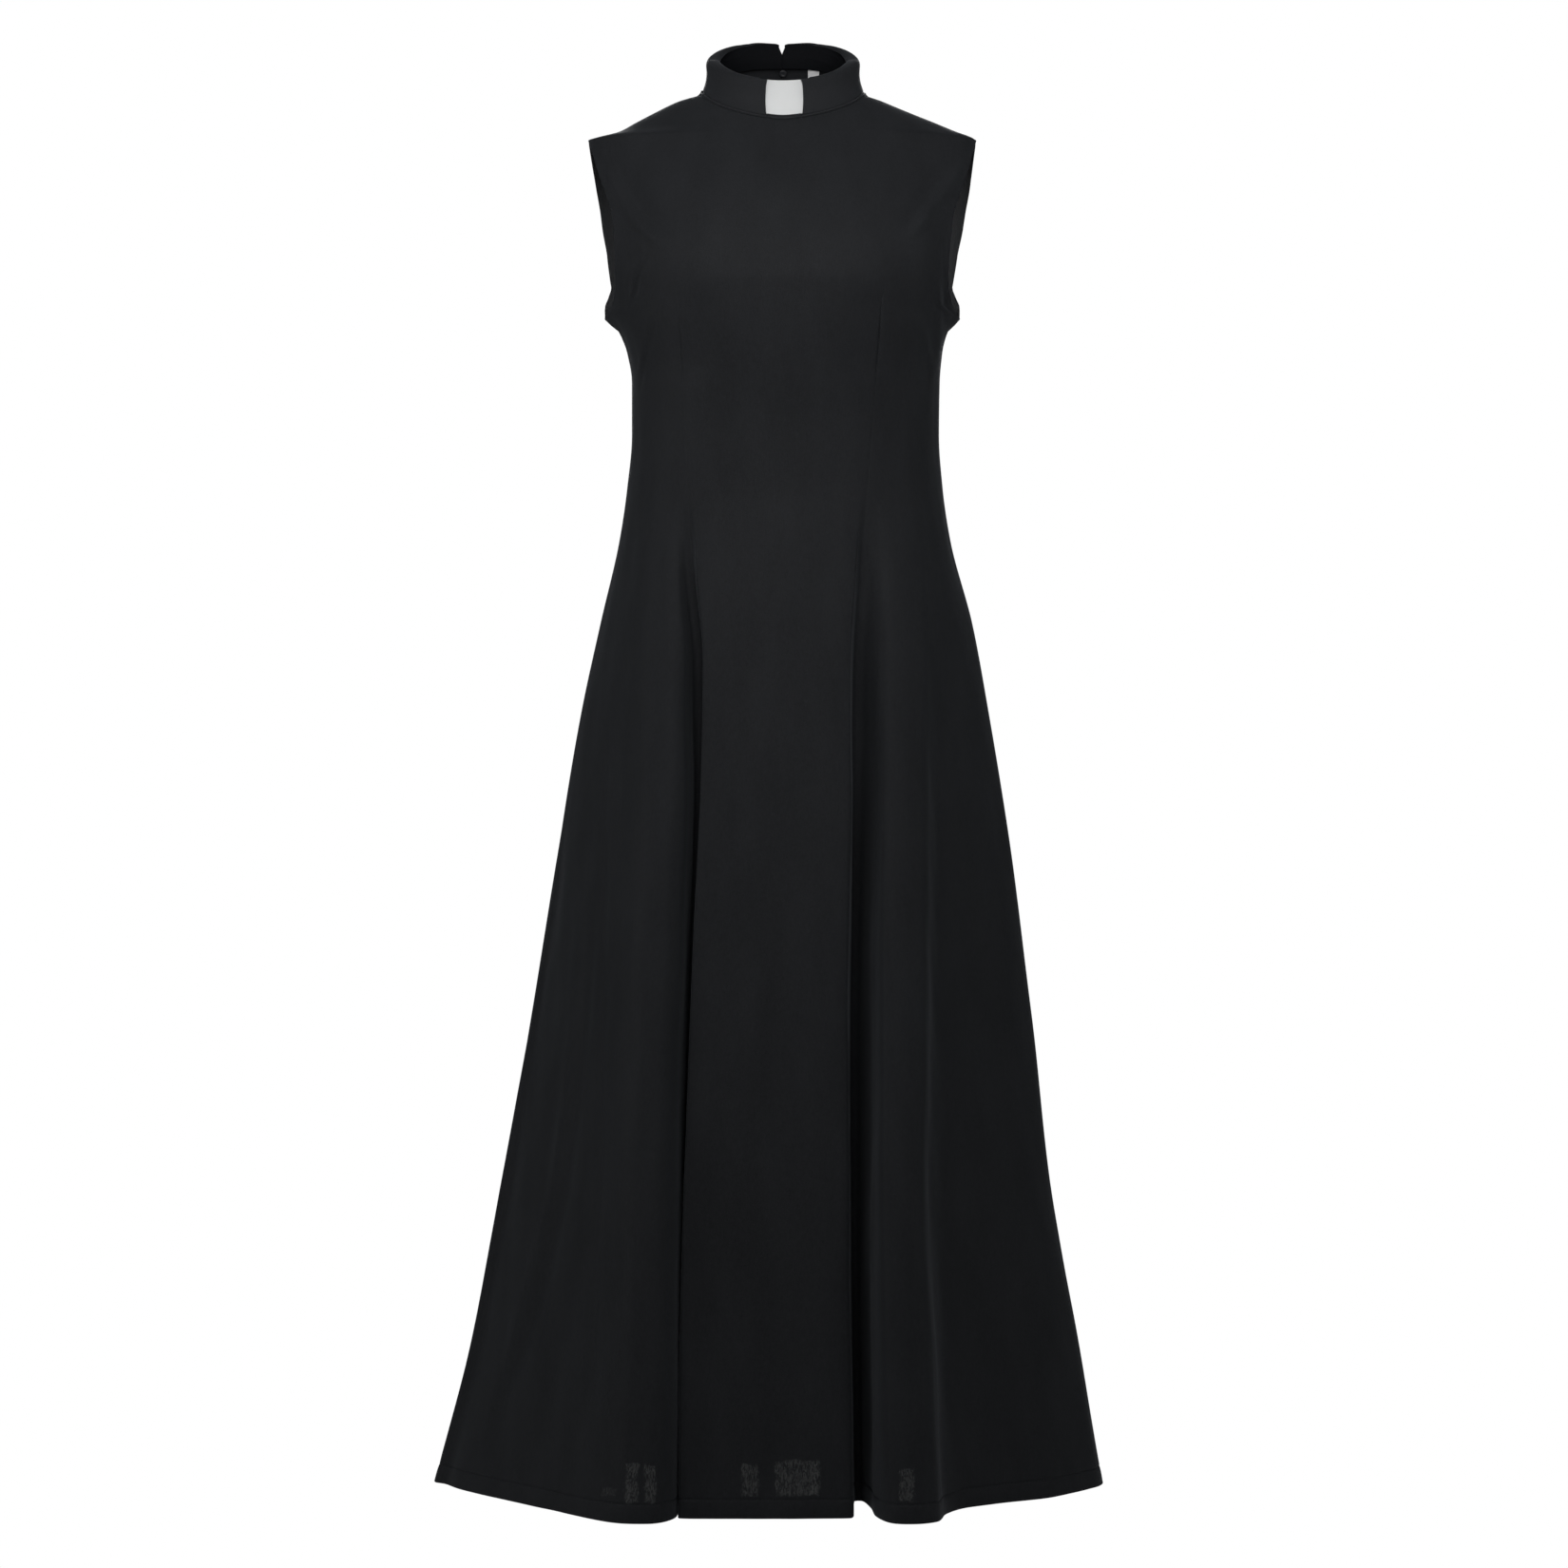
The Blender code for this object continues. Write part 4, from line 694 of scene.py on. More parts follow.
def cloth_shell(name, outer, directions, thickness, inner_slot=0):
    """A closed sheet between a face and its offset, with rounded edges, its inner face in a material slot."""
    rows, columns = outer.shape[:2]
    inner = outer - directions * np.broadcast_to(thickness, (rows, columns))[..., None]
    border = [(0, column) for column in range(columns - 1)]
    border += [(row, columns - 1) for row in range(rows - 1)]
    border += [(rows - 1, column) for column in range(columns - 1, 0, -1)]
    border += [(row, 0) for row in range(rows - 1, 0, -1)]
    r = np.array([place[0] for place in border])
    c = np.array([place[1] for place in border])
    away_row = np.where(r == 0, 1, np.where(r == rows - 1, -1, 0))
    away_column = np.where(c == 0, 1, np.where(c == columns - 1, -1, 0))
    out = unit(outer[r, c] - outer[r + away_row, c + away_column])
    middle = (outer[r, c] + inner[r, c]) / 2.0
    half = (outer[r, c] - inner[r, c]) / 2.0
    radius = np.linalg.norm(half, axis=-1, keepdims=True)
    upper = middle + half * EDGE_FLAT + out * radius * EDGE_ROUND
    lower = middle - half * EDGE_FLAT + out * radius * EDGE_ROUND
    vertices = np.concatenate([outer.reshape(-1, 3), inner.reshape(-1, 3), upper, lower])
    count = rows * columns
    grid = np.arange(count).reshape(rows, columns)
    quads = np.stack([grid[:-1, :-1], grid[1:, :-1], grid[1:, 1:], grid[:-1, 1:]], axis=-1).reshape(-1, 4)
    edge = grid[r, c]
    rim = 2 * count + np.arange(len(border))
    loops = [edge, rim, rim + len(border), edge + count]
    rims = []
    for high, low in zip(loops[:-1], loops[1:]):
        rims.append(np.stack([high, np.roll(high, -1), np.roll(low, -1), low], axis=-1))
    faces = np.concatenate([quads, quads[:, ::-1] + count] + rims)
    mesh = bpy.data.meshes.new(name)
    mesh.from_pydata(vertices.tolist(), [], faces.tolist())
    sides = np.zeros(len(faces), dtype=np.int32)
    sides[len(quads):2 * len(quads)] = inner_slot
    mesh.attributes.new("material_index", "INT", "FACE").data.foreach_set("value", sides)
    mesh.shade_smooth()
    made = bpy.data.objects.new(name, mesh)
    bpy.context.scene.collection.objects.link(made)
    return made


def node(tree, kind, **settings):
    """A shader node with its settings and the values of its inputs."""
    made = tree.nodes.new(kind)
    for name, value in settings.items():
        if hasattr(made, name):
            setattr(made, name, value)
        else:
            made.inputs[name.replace("_", " ")].default_value = value
    return made


def calculate(tree, operation, first, second=None, third=None, clamp=False):
    """A Math node whose inputs are numbers or other nodes' outputs."""
    made = tree.nodes.new("ShaderNodeMath")
    made.operation = operation
    made.use_clamp = clamp
    for place, value in enumerate((first, second, third)):
        if value is None:
            continue
        if isinstance(value, (int, float)):
            made.inputs[place].default_value = value
        else:
            tree.links.new(value, made.inputs[place])
    return made.outputs[0]


def new_group(name, inputs, outputs):
    """A shader node group with named number inputs and outputs."""
    tree = bpy.data.node_groups.new(name, "ShaderNodeTree")
    for label, value in inputs:
        socket = tree.interface.new_socket(label, in_out="INPUT", socket_type="NodeSocketFloat")
        socket.default_value = value
    for label in outputs:
        tree.interface.new_socket(label, in_out="OUTPUT", socket_type="NodeSocketFloat")
    return tree, tree.nodes.new("NodeGroupInput").outputs, tree.nodes.new("NodeGroupOutput").inputs


def placed_group(tree, group, values):
    """The outputs of a node group placed in a material with its own values."""
    made = tree.nodes.new("ShaderNodeGroup")
    made.node_tree = group
    for label, value in values.items():
        made.inputs[label].default_value = value
    return made.outputs


def noise(tree, coordinates, scale, detail, distortion=0.0):
    made = node(tree, "ShaderNodeTexNoise", Scale=scale, Detail=detail, Distortion=distortion)
    tree.links.new(coordinates, made.inputs["Vector"])
    return made.outputs[0]


def drawn_noise(tree, coordinates, stretch, scale, detail, distortion):
    """Noise drawn out along an axis where the stretch is under 1."""
    mapping = node(tree, "ShaderNodeMapping")
    mapping.inputs["Scale"].default_value = stretch
    tree.links.new(coordinates, mapping.inputs["Vector"])
    return noise(tree, mapping.outputs[0], scale, detail, distortion)


def swing(tree, value, reach):
    """A value about one half, turned into a change about zero as wide as the reach."""
    return calculate(tree, "MULTIPLY", calculate(tree, "SUBTRACT", value, 0.5), reach)


def soft_step(tree, value, low, high):
    """0 below low, 1 above high, and a soft curve between, for a node's output."""
    made = node(tree, "ShaderNodeMapRange", interpolation_type="SMOOTHSTEP")
    tree.links.new(value, made.inputs["Value"])
    made.inputs["From Min"].default_value = low
    made.inputs["From Max"].default_value = high
    return made.outputs["Result"]


# Crepe grain: fine pebbled crinkle with short upright threads, and slow changes of shade.
# Each noise has a stretch, scale, detail and distortion.
PEBBLE_NOISE = ((1.0, 1.0, 0.55), 1500.0, 2.0, 0.0)
CRINKLE_NOISE = ((1.0, 1.0, 0.38), 520.0, 3.0, 0.8)
CLOUD_NOISE = ((1.0, 1.0, 0.35), 26.0, 2.0, 0.0)
PEBBLE_PART = 0.6
CRINKLE_PART = 0.4
SHADE_GAIN = 4.0
CREPE_GRAIN = {"Pebble": 0.22, "Cloud": 0.10, "Scale": 1.0}
crepe_grain, grain_in, grain_out = new_group("crepe_grain", CREPE_GRAIN.items(), ("Shade", "Height"))
grain_place = node(crepe_grain, "ShaderNodeTexCoord").outputs["Object"]
grain_scaled = node(crepe_grain, "ShaderNodeVectorMath", operation="SCALE")
crepe_grain.links.new(grain_place, grain_scaled.inputs[0])
crepe_grain.links.new(grain_in["Scale"], grain_scaled.inputs["Scale"])
grain_pebble = drawn_noise(crepe_grain, grain_scaled.outputs[0], *PEBBLE_NOISE)
grain_crinkle = drawn_noise(crepe_grain, grain_scaled.outputs[0], *CRINKLE_NOISE)
grain_cloud = drawn_noise(crepe_grain, grain_place, *CLOUD_NOISE)
grain_height = calculate(crepe_grain, "ADD", calculate(crepe_grain, "MULTIPLY", grain_pebble, PEBBLE_PART),
                         calculate(crepe_grain, "MULTIPLY", grain_crinkle, CRINKLE_PART))
pebble_shade = swing(crepe_grain, grain_height, grain_in["Pebble"])
cloud_shade = swing(crepe_grain, grain_cloud, grain_in["Cloud"])
shade_sum = calculate(crepe_grain, "ADD", calculate(crepe_grain, "MULTIPLY", pebble_shade, SHADE_GAIN),
                      calculate(crepe_grain, "MULTIPLY", cloud_shade, SHADE_GAIN))
crepe_grain.links.new(calculate(crepe_grain, "ADD", shade_sum, 1.0), grain_out["Shade"])
crepe_grain.links.new(grain_height, grain_out["Height"])

# Painted light at thin places in the turned hem: paler patches painted where light shows through the crinkled
# cloth.
# Each has its middle and half width across, lower and upper heights, and how much shows
HEM_LIGHT_PATCHES = (
    (-0.1350, 0.0068, -1.2711, -1.2363, 0.75),
    (-0.1186, 0.0062, -1.2711, -1.2363, 0.80),
    (-0.0300, 0.0085, -1.2700, -1.2405, 0.70),
    (0.0125, 0.0200, -1.2690, -1.2373, 0.70),
    (0.0288, 0.0058, -1.2690, -1.2373, 0.45),
    (0.1105, 0.0078, -1.2705, -1.2406, 0.75),
    (-0.1560, 0.0070, -1.2665, -1.2590, 0.35),
)
HEM_LIGHT_SOFTNESS = 0.0022
HEM_LIGHT_FRONT_DEPTH = -0.12
HEM_LIGHT_WANDER = 0.008
HEM_LIGHT_WANDER_NOISE = (160.0, 2.0)
HEM_LIGHT_CRINKLE_NOISE = ((1.0, 1.0, 0.3), 620.0, 3.0, 1.2)
HEM_LIGHT_CRINKLE_LIMITS = (0.36, 0.66)
hem_painted_light, hem_light_in, hem_light_out = new_group("hem_painted_light", (("Amount", 1.0),), ("Mask",))
hem_light_axes = node(hem_painted_light, "ShaderNodeSeparateXYZ")
hem_light_coordinates = node(hem_painted_light, "ShaderNodeTexCoord").outputs["Object"]
hem_painted_light.links.new(hem_light_coordinates, hem_light_axes.inputs[0])
hem_light_wander = swing(hem_painted_light, noise(hem_painted_light, hem_light_coordinates, *HEM_LIGHT_WANDER_NOISE), HEM_LIGHT_WANDER)
hem_light_x = calculate(hem_painted_light, "ADD", hem_light_axes.outputs["X"], hem_light_wander)
hem_light_z = calculate(hem_painted_light, "ADD", hem_light_axes.outputs["Z"], hem_light_wander)
hem_light_sum = 0.0
for middle, half, low, high, shown in HEM_LIGHT_PATCHES:
    aside = calculate(hem_painted_light, "ABSOLUTE", calculate(hem_painted_light, "SUBTRACT", hem_light_x, middle))
    inside = calculate(hem_painted_light, "SUBTRACT", 1.0, soft_step(hem_painted_light, aside, half - HEM_LIGHT_SOFTNESS, half))
    above = soft_step(hem_painted_light, hem_light_z, low - HEM_LIGHT_SOFTNESS / 2.0, low + HEM_LIGHT_SOFTNESS / 2.0)
    under = calculate(hem_painted_light, "SUBTRACT", 1.0, soft_step(hem_painted_light, hem_light_z, high - HEM_LIGHT_SOFTNESS, high))
    patch = calculate(hem_painted_light, "MULTIPLY", calculate(hem_painted_light, "MULTIPLY", inside, above), under)
    hem_light_sum = calculate(hem_painted_light, "MULTIPLY_ADD", patch, shown, hem_light_sum)
in_front = calculate(hem_painted_light, "LESS_THAN", hem_light_axes.outputs["Y"], HEM_LIGHT_FRONT_DEPTH)
crinkled = soft_step(hem_painted_light, drawn_noise(hem_painted_light, hem_light_coordinates, *HEM_LIGHT_CRINKLE_NOISE),
                     *HEM_LIGHT_CRINKLE_LIMITS)
hem_light_mask = calculate(hem_painted_light, "MULTIPLY", hem_light_sum, in_front)
hem_light_mask = calculate(hem_painted_light, "MULTIPLY", hem_light_mask, crinkled)
hem_light_mask = calculate(hem_painted_light, "MULTIPLY", hem_light_mask, hem_light_in["Amount"], clamp=True)
hem_painted_light.links.new(hem_light_mask, hem_light_out["Mask"])


def plain_material(name, colour, roughness, metallic=0.0, specular=0.5):
    """A material whose shader's own sockets hold its constant values."""
    material = bpy.data.materials.new(name)
    material.use_nodes = True
    material.diffuse_color = (*colour, 1.0)
    shader = material.node_tree.nodes["Principled BSDF"]
    shader.inputs["Base Color"].default_value = (*colour, 1.0)
    shader.inputs["Roughness"].default_value = roughness
    shader.inputs["Metallic"].default_value = metallic
    shader.inputs["Specular IOR Level"].default_value = specular
    return material, shader


def tint(tree, colour, shade):
    """A colour multiplied by a shade that changes over the surface."""
    made = node(tree, "ShaderNodeVectorMath", operation="SCALE")
    if isinstance(colour, tuple):
        made.inputs[0].default_value = colour
    else:
        tree.links.new(colour, made.inputs[0])
    tree.links.new(shade, made.inputs["Scale"])
    return made.outputs[0]


def bump(tree, shader, height, strength, distance):
    """Low relief from a height, in the shader's normal."""
    made = node(tree, "ShaderNodeBump", Strength=strength, Distance=distance)
    tree.links.new(height, made.inputs["Height"])
    tree.links.new(made.outputs["Normal"], shader.inputs["Normal"])


CREPE_SPECULAR = 0.05
CREPE_SHEEN = 0.11
CREPE_SHEEN_ROUGHNESS = 0.45
CREPE_SHEEN_TINT = (0.62, 0.66, 0.72, 1.0)
CREPE_ROUGHNESS = 0.52
CREPE_BUMP = 0.30
CREPE_BUMP_DISTANCE = 0.0006
INSIDE_ROUGHNESS = 0.75
INSIDE_BUMP = 0.25
CLOTH_COLOUR = (0.0172, 0.0182, 0.0201)
# Painted light: the paler colour painted on the hem's patches where light shows through.
HEM_PAINTED_LIGHT_COLOUR = (0.070, 0.072, 0.072)
# Painted light: the inside along the armholes is painted many times paler than the cloth, as if lit.
ARMHOLE_PAINTED_LIGHT_COLOUR = (0.150, 0.155, 0.162)
MIX_PLAIN_SOCKET, MIX_PALE_SOCKET, MIX_RESULT_SOCKET = 6, 7, 2


def crepe_material(name, colour, roughness, sheen, grain, bump_strength, painted_light_colour=None, painted_light_group=None):
    """Matte black crepe with its grain, and a paler colour painted as light where a group's mask asks for it.
    """
    material, shader = plain_material(name, colour, roughness, specular=CREPE_SPECULAR)
    shader.inputs["Sheen Weight"].default_value = sheen
    shader.inputs["Sheen Roughness"].default_value = CREPE_SHEEN_ROUGHNESS
    shader.inputs["Sheen Tint"].default_value = CREPE_SHEEN_TINT
    tree = material.node_tree
    grained = placed_group(tree, crepe_grain, grain)
    cloth = colour
    if painted_light_group:
        mixed = node(tree, "ShaderNodeMix", data_type="RGBA")
        mixed.inputs[MIX_PLAIN_SOCKET].default_value = (*colour, 1.0)
        mixed.inputs[MIX_PALE_SOCKET].default_value = (*painted_light_colour, 1.0)
        tree.links.new(placed_group(tree, painted_light_group, {"Amount": 1.0})["Mask"], mixed.inputs[0])
        cloth = mixed.outputs[MIX_RESULT_SOCKET]
    tree.links.new(tint(tree, cloth, grained["Shade"]), shader.inputs["Base Color"])
    bump(tree, shader, grained["Height"], bump_strength, CREPE_BUMP_DISTANCE)
    return material


# Armhole turnings: the strip turned to the inside along each armhole, painted much paler as light falling on
# it.
# It starts and ends over two heights each, and begins this far from the centre.
TURNING_FOOT = (-0.205, -0.190)
TURNING_TOP = (-0.030, -0.018)
TURNING_START = (0.120, 0.132)
armhole_painted_light, turning_in, turning_out = new_group("armhole_painted_light", (("Amount", 1.0),), ("Mask",))
turning_axes = node(armhole_painted_light, "ShaderNodeSeparateXYZ")
turning_place = node(armhole_painted_light, "ShaderNodeTexCoord").outputs["Object"]
armhole_painted_light.links.new(turning_place, turning_axes.inputs[0])
turning_aside = calculate(armhole_painted_light, "ABSOLUTE", turning_axes.outputs["X"])
turning_aside = soft_step(armhole_painted_light, turning_aside, *TURNING_START)
turning_low = soft_step(armhole_painted_light, turning_axes.outputs["Z"], *TURNING_FOOT)
turning_high = soft_step(armhole_painted_light, turning_axes.outputs["Z"], *TURNING_TOP)
turning_level = calculate(armhole_painted_light, "SUBTRACT", turning_low, turning_high)
armhole_light_mask = calculate(armhole_painted_light, "MULTIPLY", turning_aside, turning_level)
armhole_light_mask = calculate(armhole_painted_light, "MULTIPLY", armhole_light_mask, turning_in["Amount"], clamp=True)
armhole_painted_light.links.new(armhole_light_mask, turning_out["Mask"])

crepe = crepe_material("black_crepe", CLOTH_COLOUR, CREPE_ROUGHNESS, CREPE_SHEEN, CREPE_GRAIN, CREPE_BUMP,
                       HEM_PAINTED_LIGHT_COLOUR, hem_painted_light)
crepe_inside = crepe_material("black_crepe_inside", CLOTH_COLOUR, INSIDE_ROUGHNESS, 0.0, CREPE_GRAIN,
                              INSIDE_BUMP, ARMHOLE_PAINTED_LIGHT_COLOUR, armhole_painted_light)

# Each panel laid flat: the width and length that it takes up, and its area
PANEL_CUTS = {
    "front_centre": (0.40, 1.36, 0.365),
    "side_front_left": (0.49, 1.24, 0.325),
    "side_front_right": (0.49, 1.24, 0.335),
    "back_left": (0.53, 1.40, 0.435),
    "back_right": (0.53, 1.40, 0.430),
}
dress_panels = {}
panel_faces = {}
for panel_name, fold_rows in PANEL_FOLDS:
    face, face_directions, face_thickness = dressed_panel(panel_name)
    panel_faces[panel_name] = (face, face_directions)
    panel = cloth_shell(panel_name + "_panel", face, face_directions, face_thickness, INNER_SLOT)
    panel.data.materials.append(crepe)
    panel.data.materials.append(crepe_inside)
    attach(panel, "dress")
    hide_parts(panel_name)
    dress_panels[panel_name] = panel

# Hem stitching: one row of black thread that holds the turned hem, a short stitch and then a shorter gap.
# Each stitch is a small round rod, thinner at its ends, lying in the groove that it pulls in the cloth.
STITCH_LENGTH = 0.0026
STITCH_PITCH = 0.0034
STITCH_RADIUS = 0.00022
STITCH_RINGS = ((-0.5, 0.25), (-0.36, 0.9), (0.0, 1.0), (0.36, 0.9), (0.5, 0.25))
STITCH_SIDES = 6
STITCH_LIFT = 0.00010
STITCH_MARGIN = 0.003
THREAD_COLOUR = (0.010, 0.011, 0.012)
THREAD_ROUGHNESS = 0.5
THREAD_SHEEN = 0.08
THREAD_BUMP = 0.2
THREAD_GRAIN = {"Pebble": 0.3, "Cloud": 0.0, "Scale": 2.0}


def mesh_object(name, vertices, faces):
    mesh = bpy.data.meshes.new(name)
    mesh.from_pydata(vertices, [], faces)
    mesh.validate()
    mesh.shade_smooth()
    made = bpy.data.objects.new(name, mesh)
    bpy.context.scene.collection.objects.link(made)
    return made


def rod_faces(base, rings, sides):
    """Faces of a closed rod whose rings of vertices start at a base."""
    faces = []
    for here in range(base, base + (rings - 1) * sides, sides):
        for turn in range(sides):
            after = (turn + 1) % sides
            faces.append((here + turn, here + sides + turn, here + sides + after, here + after))
    last = base + (rings - 1) * sides
    faces.append(tuple(base + turn for turn in range(sides)))
    faces.append(tuple(last + turn for turn in reversed(range(sides))))
    return faces


stitch_vertices = []
stitch_faces = []
hem_row = -1 - (len(HEM_ROWS) - 1 - HEM_ROWS.index(HEM_STITCH_HEIGHT))
for panel_name, (face, face_directions) in panel_faces.items():
    line = face[hem_row] + face_directions[hem_row] * STITCH_LIFT
    runs = np.concatenate([[0.0], np.cumsum(np.linalg.norm(np.diff(line, axis=0), axis=1))])
    for middle in np.arange(STITCH_MARGIN, runs[-1] - STITCH_MARGIN, STITCH_PITCH):
        spots = [Vector([np.interp(middle + step, runs, line[:, axis]) for axis in range(3)])
                 for step in (-STITCH_LENGTH / 2.0, 0.0, STITCH_LENGTH / 2.0)]
        column = int(np.searchsorted(runs, middle))
        normal = Vector(face_directions[hem_row][column])
        heading = (spots[2] - spots[0]).normalized()
        side = heading.cross(normal).normalized()
        base = len(stitch_vertices)
        for along, thick in STITCH_RINGS:
            for turn in range(STITCH_SIDES):
                angle = 2.0 * math.pi * turn / STITCH_SIDES
                spot = spots[1] + heading * along * STITCH_LENGTH
                spot += (side * math.cos(angle) + normal * math.sin(angle)) * STITCH_RADIUS * thick
                stitch_vertices.append(tuple(spot))
        stitch_faces += rod_faces(base, len(STITCH_RINGS), STITCH_SIDES)
hem_stitches = mesh_object("hem_stitches", stitch_vertices, stitch_faces)
thread = crepe_material("black_thread", THREAD_COLOUR, THREAD_ROUGHNESS, THREAD_SHEEN, THREAD_GRAIN,
                        THREAD_BUMP)
hem_stitches.data.materials.append(thread)
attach(hem_stitches, "dress")
for panel_name, panel in dress_panels.items():
    width, length, area = PANEL_CUTS[panel_name]

# Stand collar: two outer halves of crepe stiffened with interfacing and folded over at the top.
# They are sewn into the neck seam, meet at the centre back with a small notch, and end beside the tab's window
# in front.
COLLAR_WALL = 0.0018
COLLAR_TOP_HALF_WIDTH = 0.0740
COLLAR_TOP_FRONT_DEPTH = 0.0580
COLLAR_TOP_BACK_DEPTH = 0.0585
COLLAR_TOP_SIDE_HEIGHT = 0.0555
COLLAR_TOP_FRONT_DROP = 0.0290
COLLAR_TOP_BACK_RISE = 0.0226
COLLAR_RIM_FILL = 0.0032
COLLAR_FRONT_DROP_POWER = 1.4
COLLAR_BACK_RISE_POWER = 1.25
COLLAR_WAIST = 0.0030
COLLAR_LEAN = 0.0120
COLLAR_LEAN_START = 0.78
COLLAR_LEAN_POWER = 2.6
COLLAR_ROLL_RISE = 0.0030
COLLAR_BACK_HALF_GAP = 0.0006
COLLAR_BACK_OFFSET = -0.0012
COLLAR_NOTCH_HALF_WIDTH = 0.0040
COLLAR_NOTCH_START = 0.60
COLLAR_NOTCH_POWER = 0.8
COLLAR_FOOT_GAP = 0.0003
COLLAR_SQUARENESS = 1.90
WINDOW_CENTRE = 0.0012
WINDOW_HALF_WIDTH = 0.0173
WINDOW_BULGE = 0.0022
TAB_HALF_WIDTH = 0.0215
TAB_CLEARANCE = (0.001, 0.004)
COLLAR_HEIGHT = 0.044
# Runs of rows down the collar, as shares of its height: first, last and how many
COLLAR_ROW_RUNS = ((1.0, 0.76, 19), (0.72, 0.2, 14), (0.17, 0.0, 14))
COLLAR_TURN_STEP = 1.6
COLLAR_END_CLOSENESS = 0.35
COLLAR_TURN_NUDGE = 0.5
COLLAR_UP_NUDGE = 0.004
FOLD_OVER_SHARES = (0.91, 0.965)
FOLD_OVER_WALL = 0.0042
FOOT_ROLL_HEIGHT = 0.0012
FOOT_ROLL_WIDTH = 0.0011
FOOT_ROLL_LIFT = 0.0015
FOOT_GROOVE_HEIGHT = 0.0034
FOOT_GROOVE_WIDTH = 0.0008
FOOT_GROOVE_DIP = 0.0012
COLLAR_COLOUR = (0.0182, 0.0192, 0.0212)
COLLAR_ROUGHNESS = 0.50
COLLAR_BUMP = 0.22
COLLAR_GRAIN = {"Pebble": 0.16, "Cloud": 0.06, "Scale": 1.0}


def neckline_point(turn):
    """Point of the neck seam at a turn about the neck."""
    angle = np.radians(np.asarray(turn, dtype=float))
    sine = np.sin(angle)
    cosine = np.cos(angle)
    power = 2.0 / COLLAR_SQUARENESS
    across = np.sign(sine) * half_width(SHOULDER_NECK_HEIGHT, 1) * np.abs(sine) ** power
    centre = np.where(cosine >= 0, FRONT_CROSS_LINES[0][1], BACK_CROSS_LINES[0][1])
    height = centre + (SHOULDER_NECK_HEIGHT - centre) * neck_rise(cosine, cosine >= 0)
    body_turn = turn_at(across, height)
    body_turn = np.where(cosine >= 0, body_turn, np.copysign(180.0, across) - body_turn)
    return body_point(body_turn, height)


def collar_point(turn, up):
    """Point of the collar's outer face: a turn about the neck, and a share of the collar's height."""
    turn, up = np.broadcast_arrays(np.asarray(turn, dtype=float), np.asarray(up, dtype=float))
    angle = np.radians(turn)
    foot = neckline_point(turn)
    foot[..., 2] += COLLAR_FOOT_GAP
    cosine = np.cos(angle)
    depth = np.where(cosine >= 0, COLLAR_TOP_FRONT_DEPTH, COLLAR_TOP_BACK_DEPTH)
    drop = COLLAR_TOP_FRONT_DROP * np.abs(cosine) ** COLLAR_FRONT_DROP_POWER
    rise = COLLAR_TOP_BACK_RISE * (1.0 - (1.0 - np.abs(cosine)) ** COLLAR_BACK_RISE_POWER)
    top = np.stack([COLLAR_TOP_HALF_WIDTH * np.sin(angle), -depth * cosine,
                    COLLAR_TOP_SIDE_HEIGHT + np.where(cosine >= 0, -drop, rise)], axis=-1)
    waist = 1.0 - COLLAR_WAIST / COLLAR_TOP_HALF_WIDTH * np.sin(np.pi * up)
    point = foot + (top - foot) * up[..., None]
    point[..., :2] *= waist[..., None]
    rolled = np.clip((up - COLLAR_LEAN_START) / (1.0 - COLLAR_LEAN_START), 0.0, 1.0)
    point[..., 0] -= COLLAR_LEAN * rolled ** COLLAR_LEAN_POWER * np.sin(angle) * np.abs(np.sin(angle))
    point[..., 2] += COLLAR_ROLL_RISE * np.sin(np.pi * rolled) * np.sin(angle) ** 2
    point[..., 2] += np.where(cosine < 0, COLLAR_RIM_FILL * rolled * np.sin(2.0 * angle) ** 2, 0.0)
    return point


def collar_inward(turn, up):
    """Direction from the collar's outer face into the neck, square to the cloth."""
    ahead = collar_point(turn + COLLAR_TURN_NUDGE, up) - collar_point(turn - COLLAR_TURN_NUDGE, up)
    rising = collar_point(turn, up + COLLAR_UP_NUDGE) - collar_point(turn, up - COLLAR_UP_NUDGE)
    return unit(np.cross(rising, ahead))


def window_turn(side, up):
    """Turn of the window's left or right edge at a share of the collar's height."""
    bow = WINDOW_BULGE * (1.0 - (2.0 * up - 1.0) ** 2)
    edge = WINDOW_CENTRE + side * (WINDOW_HALF_WIDTH + bow)
    return np.degrees(np.arcsin(edge / COLLAR_TOP_HALF_WIDTH))


def back_end_turn(side, up):
    """Turn of a half's back end, which leaves the notch at the top."""
    opened = np.clip((up - COLLAR_NOTCH_START) / (1.0 - COLLAR_NOTCH_START), 0.0, 1.0) ** COLLAR_NOTCH_POWER
    edge = COLLAR_BACK_OFFSET + side * (COLLAR_BACK_HALF_GAP + COLLAR_NOTCH_HALF_WIDTH * opened)
    return side * 180.0 - np.degrees(np.arcsin(edge / COLLAR_TOP_HALF_WIDTH))


def collar_grid(starts, ends, ups):
    """Turns and shares of height over a strip of the collar, with closer columns beside its ends."""
    steps = math.ceil((max(ends) - min(starts)) / COLLAR_TURN_STEP)
    spread = (1.0 - np.cos(np.linspace(0.0, math.pi, steps + 1))) / 2.0
    spread = COLLAR_END_CLOSENESS * spread + (1.0 - COLLAR_END_CLOSENESS) * np.linspace(0.0, 1.0, steps + 1)
    turns = starts[:, None] + (ends - starts)[:, None] * spread
    return turns, np.broadcast_to(ups[:, None], turns.shape)


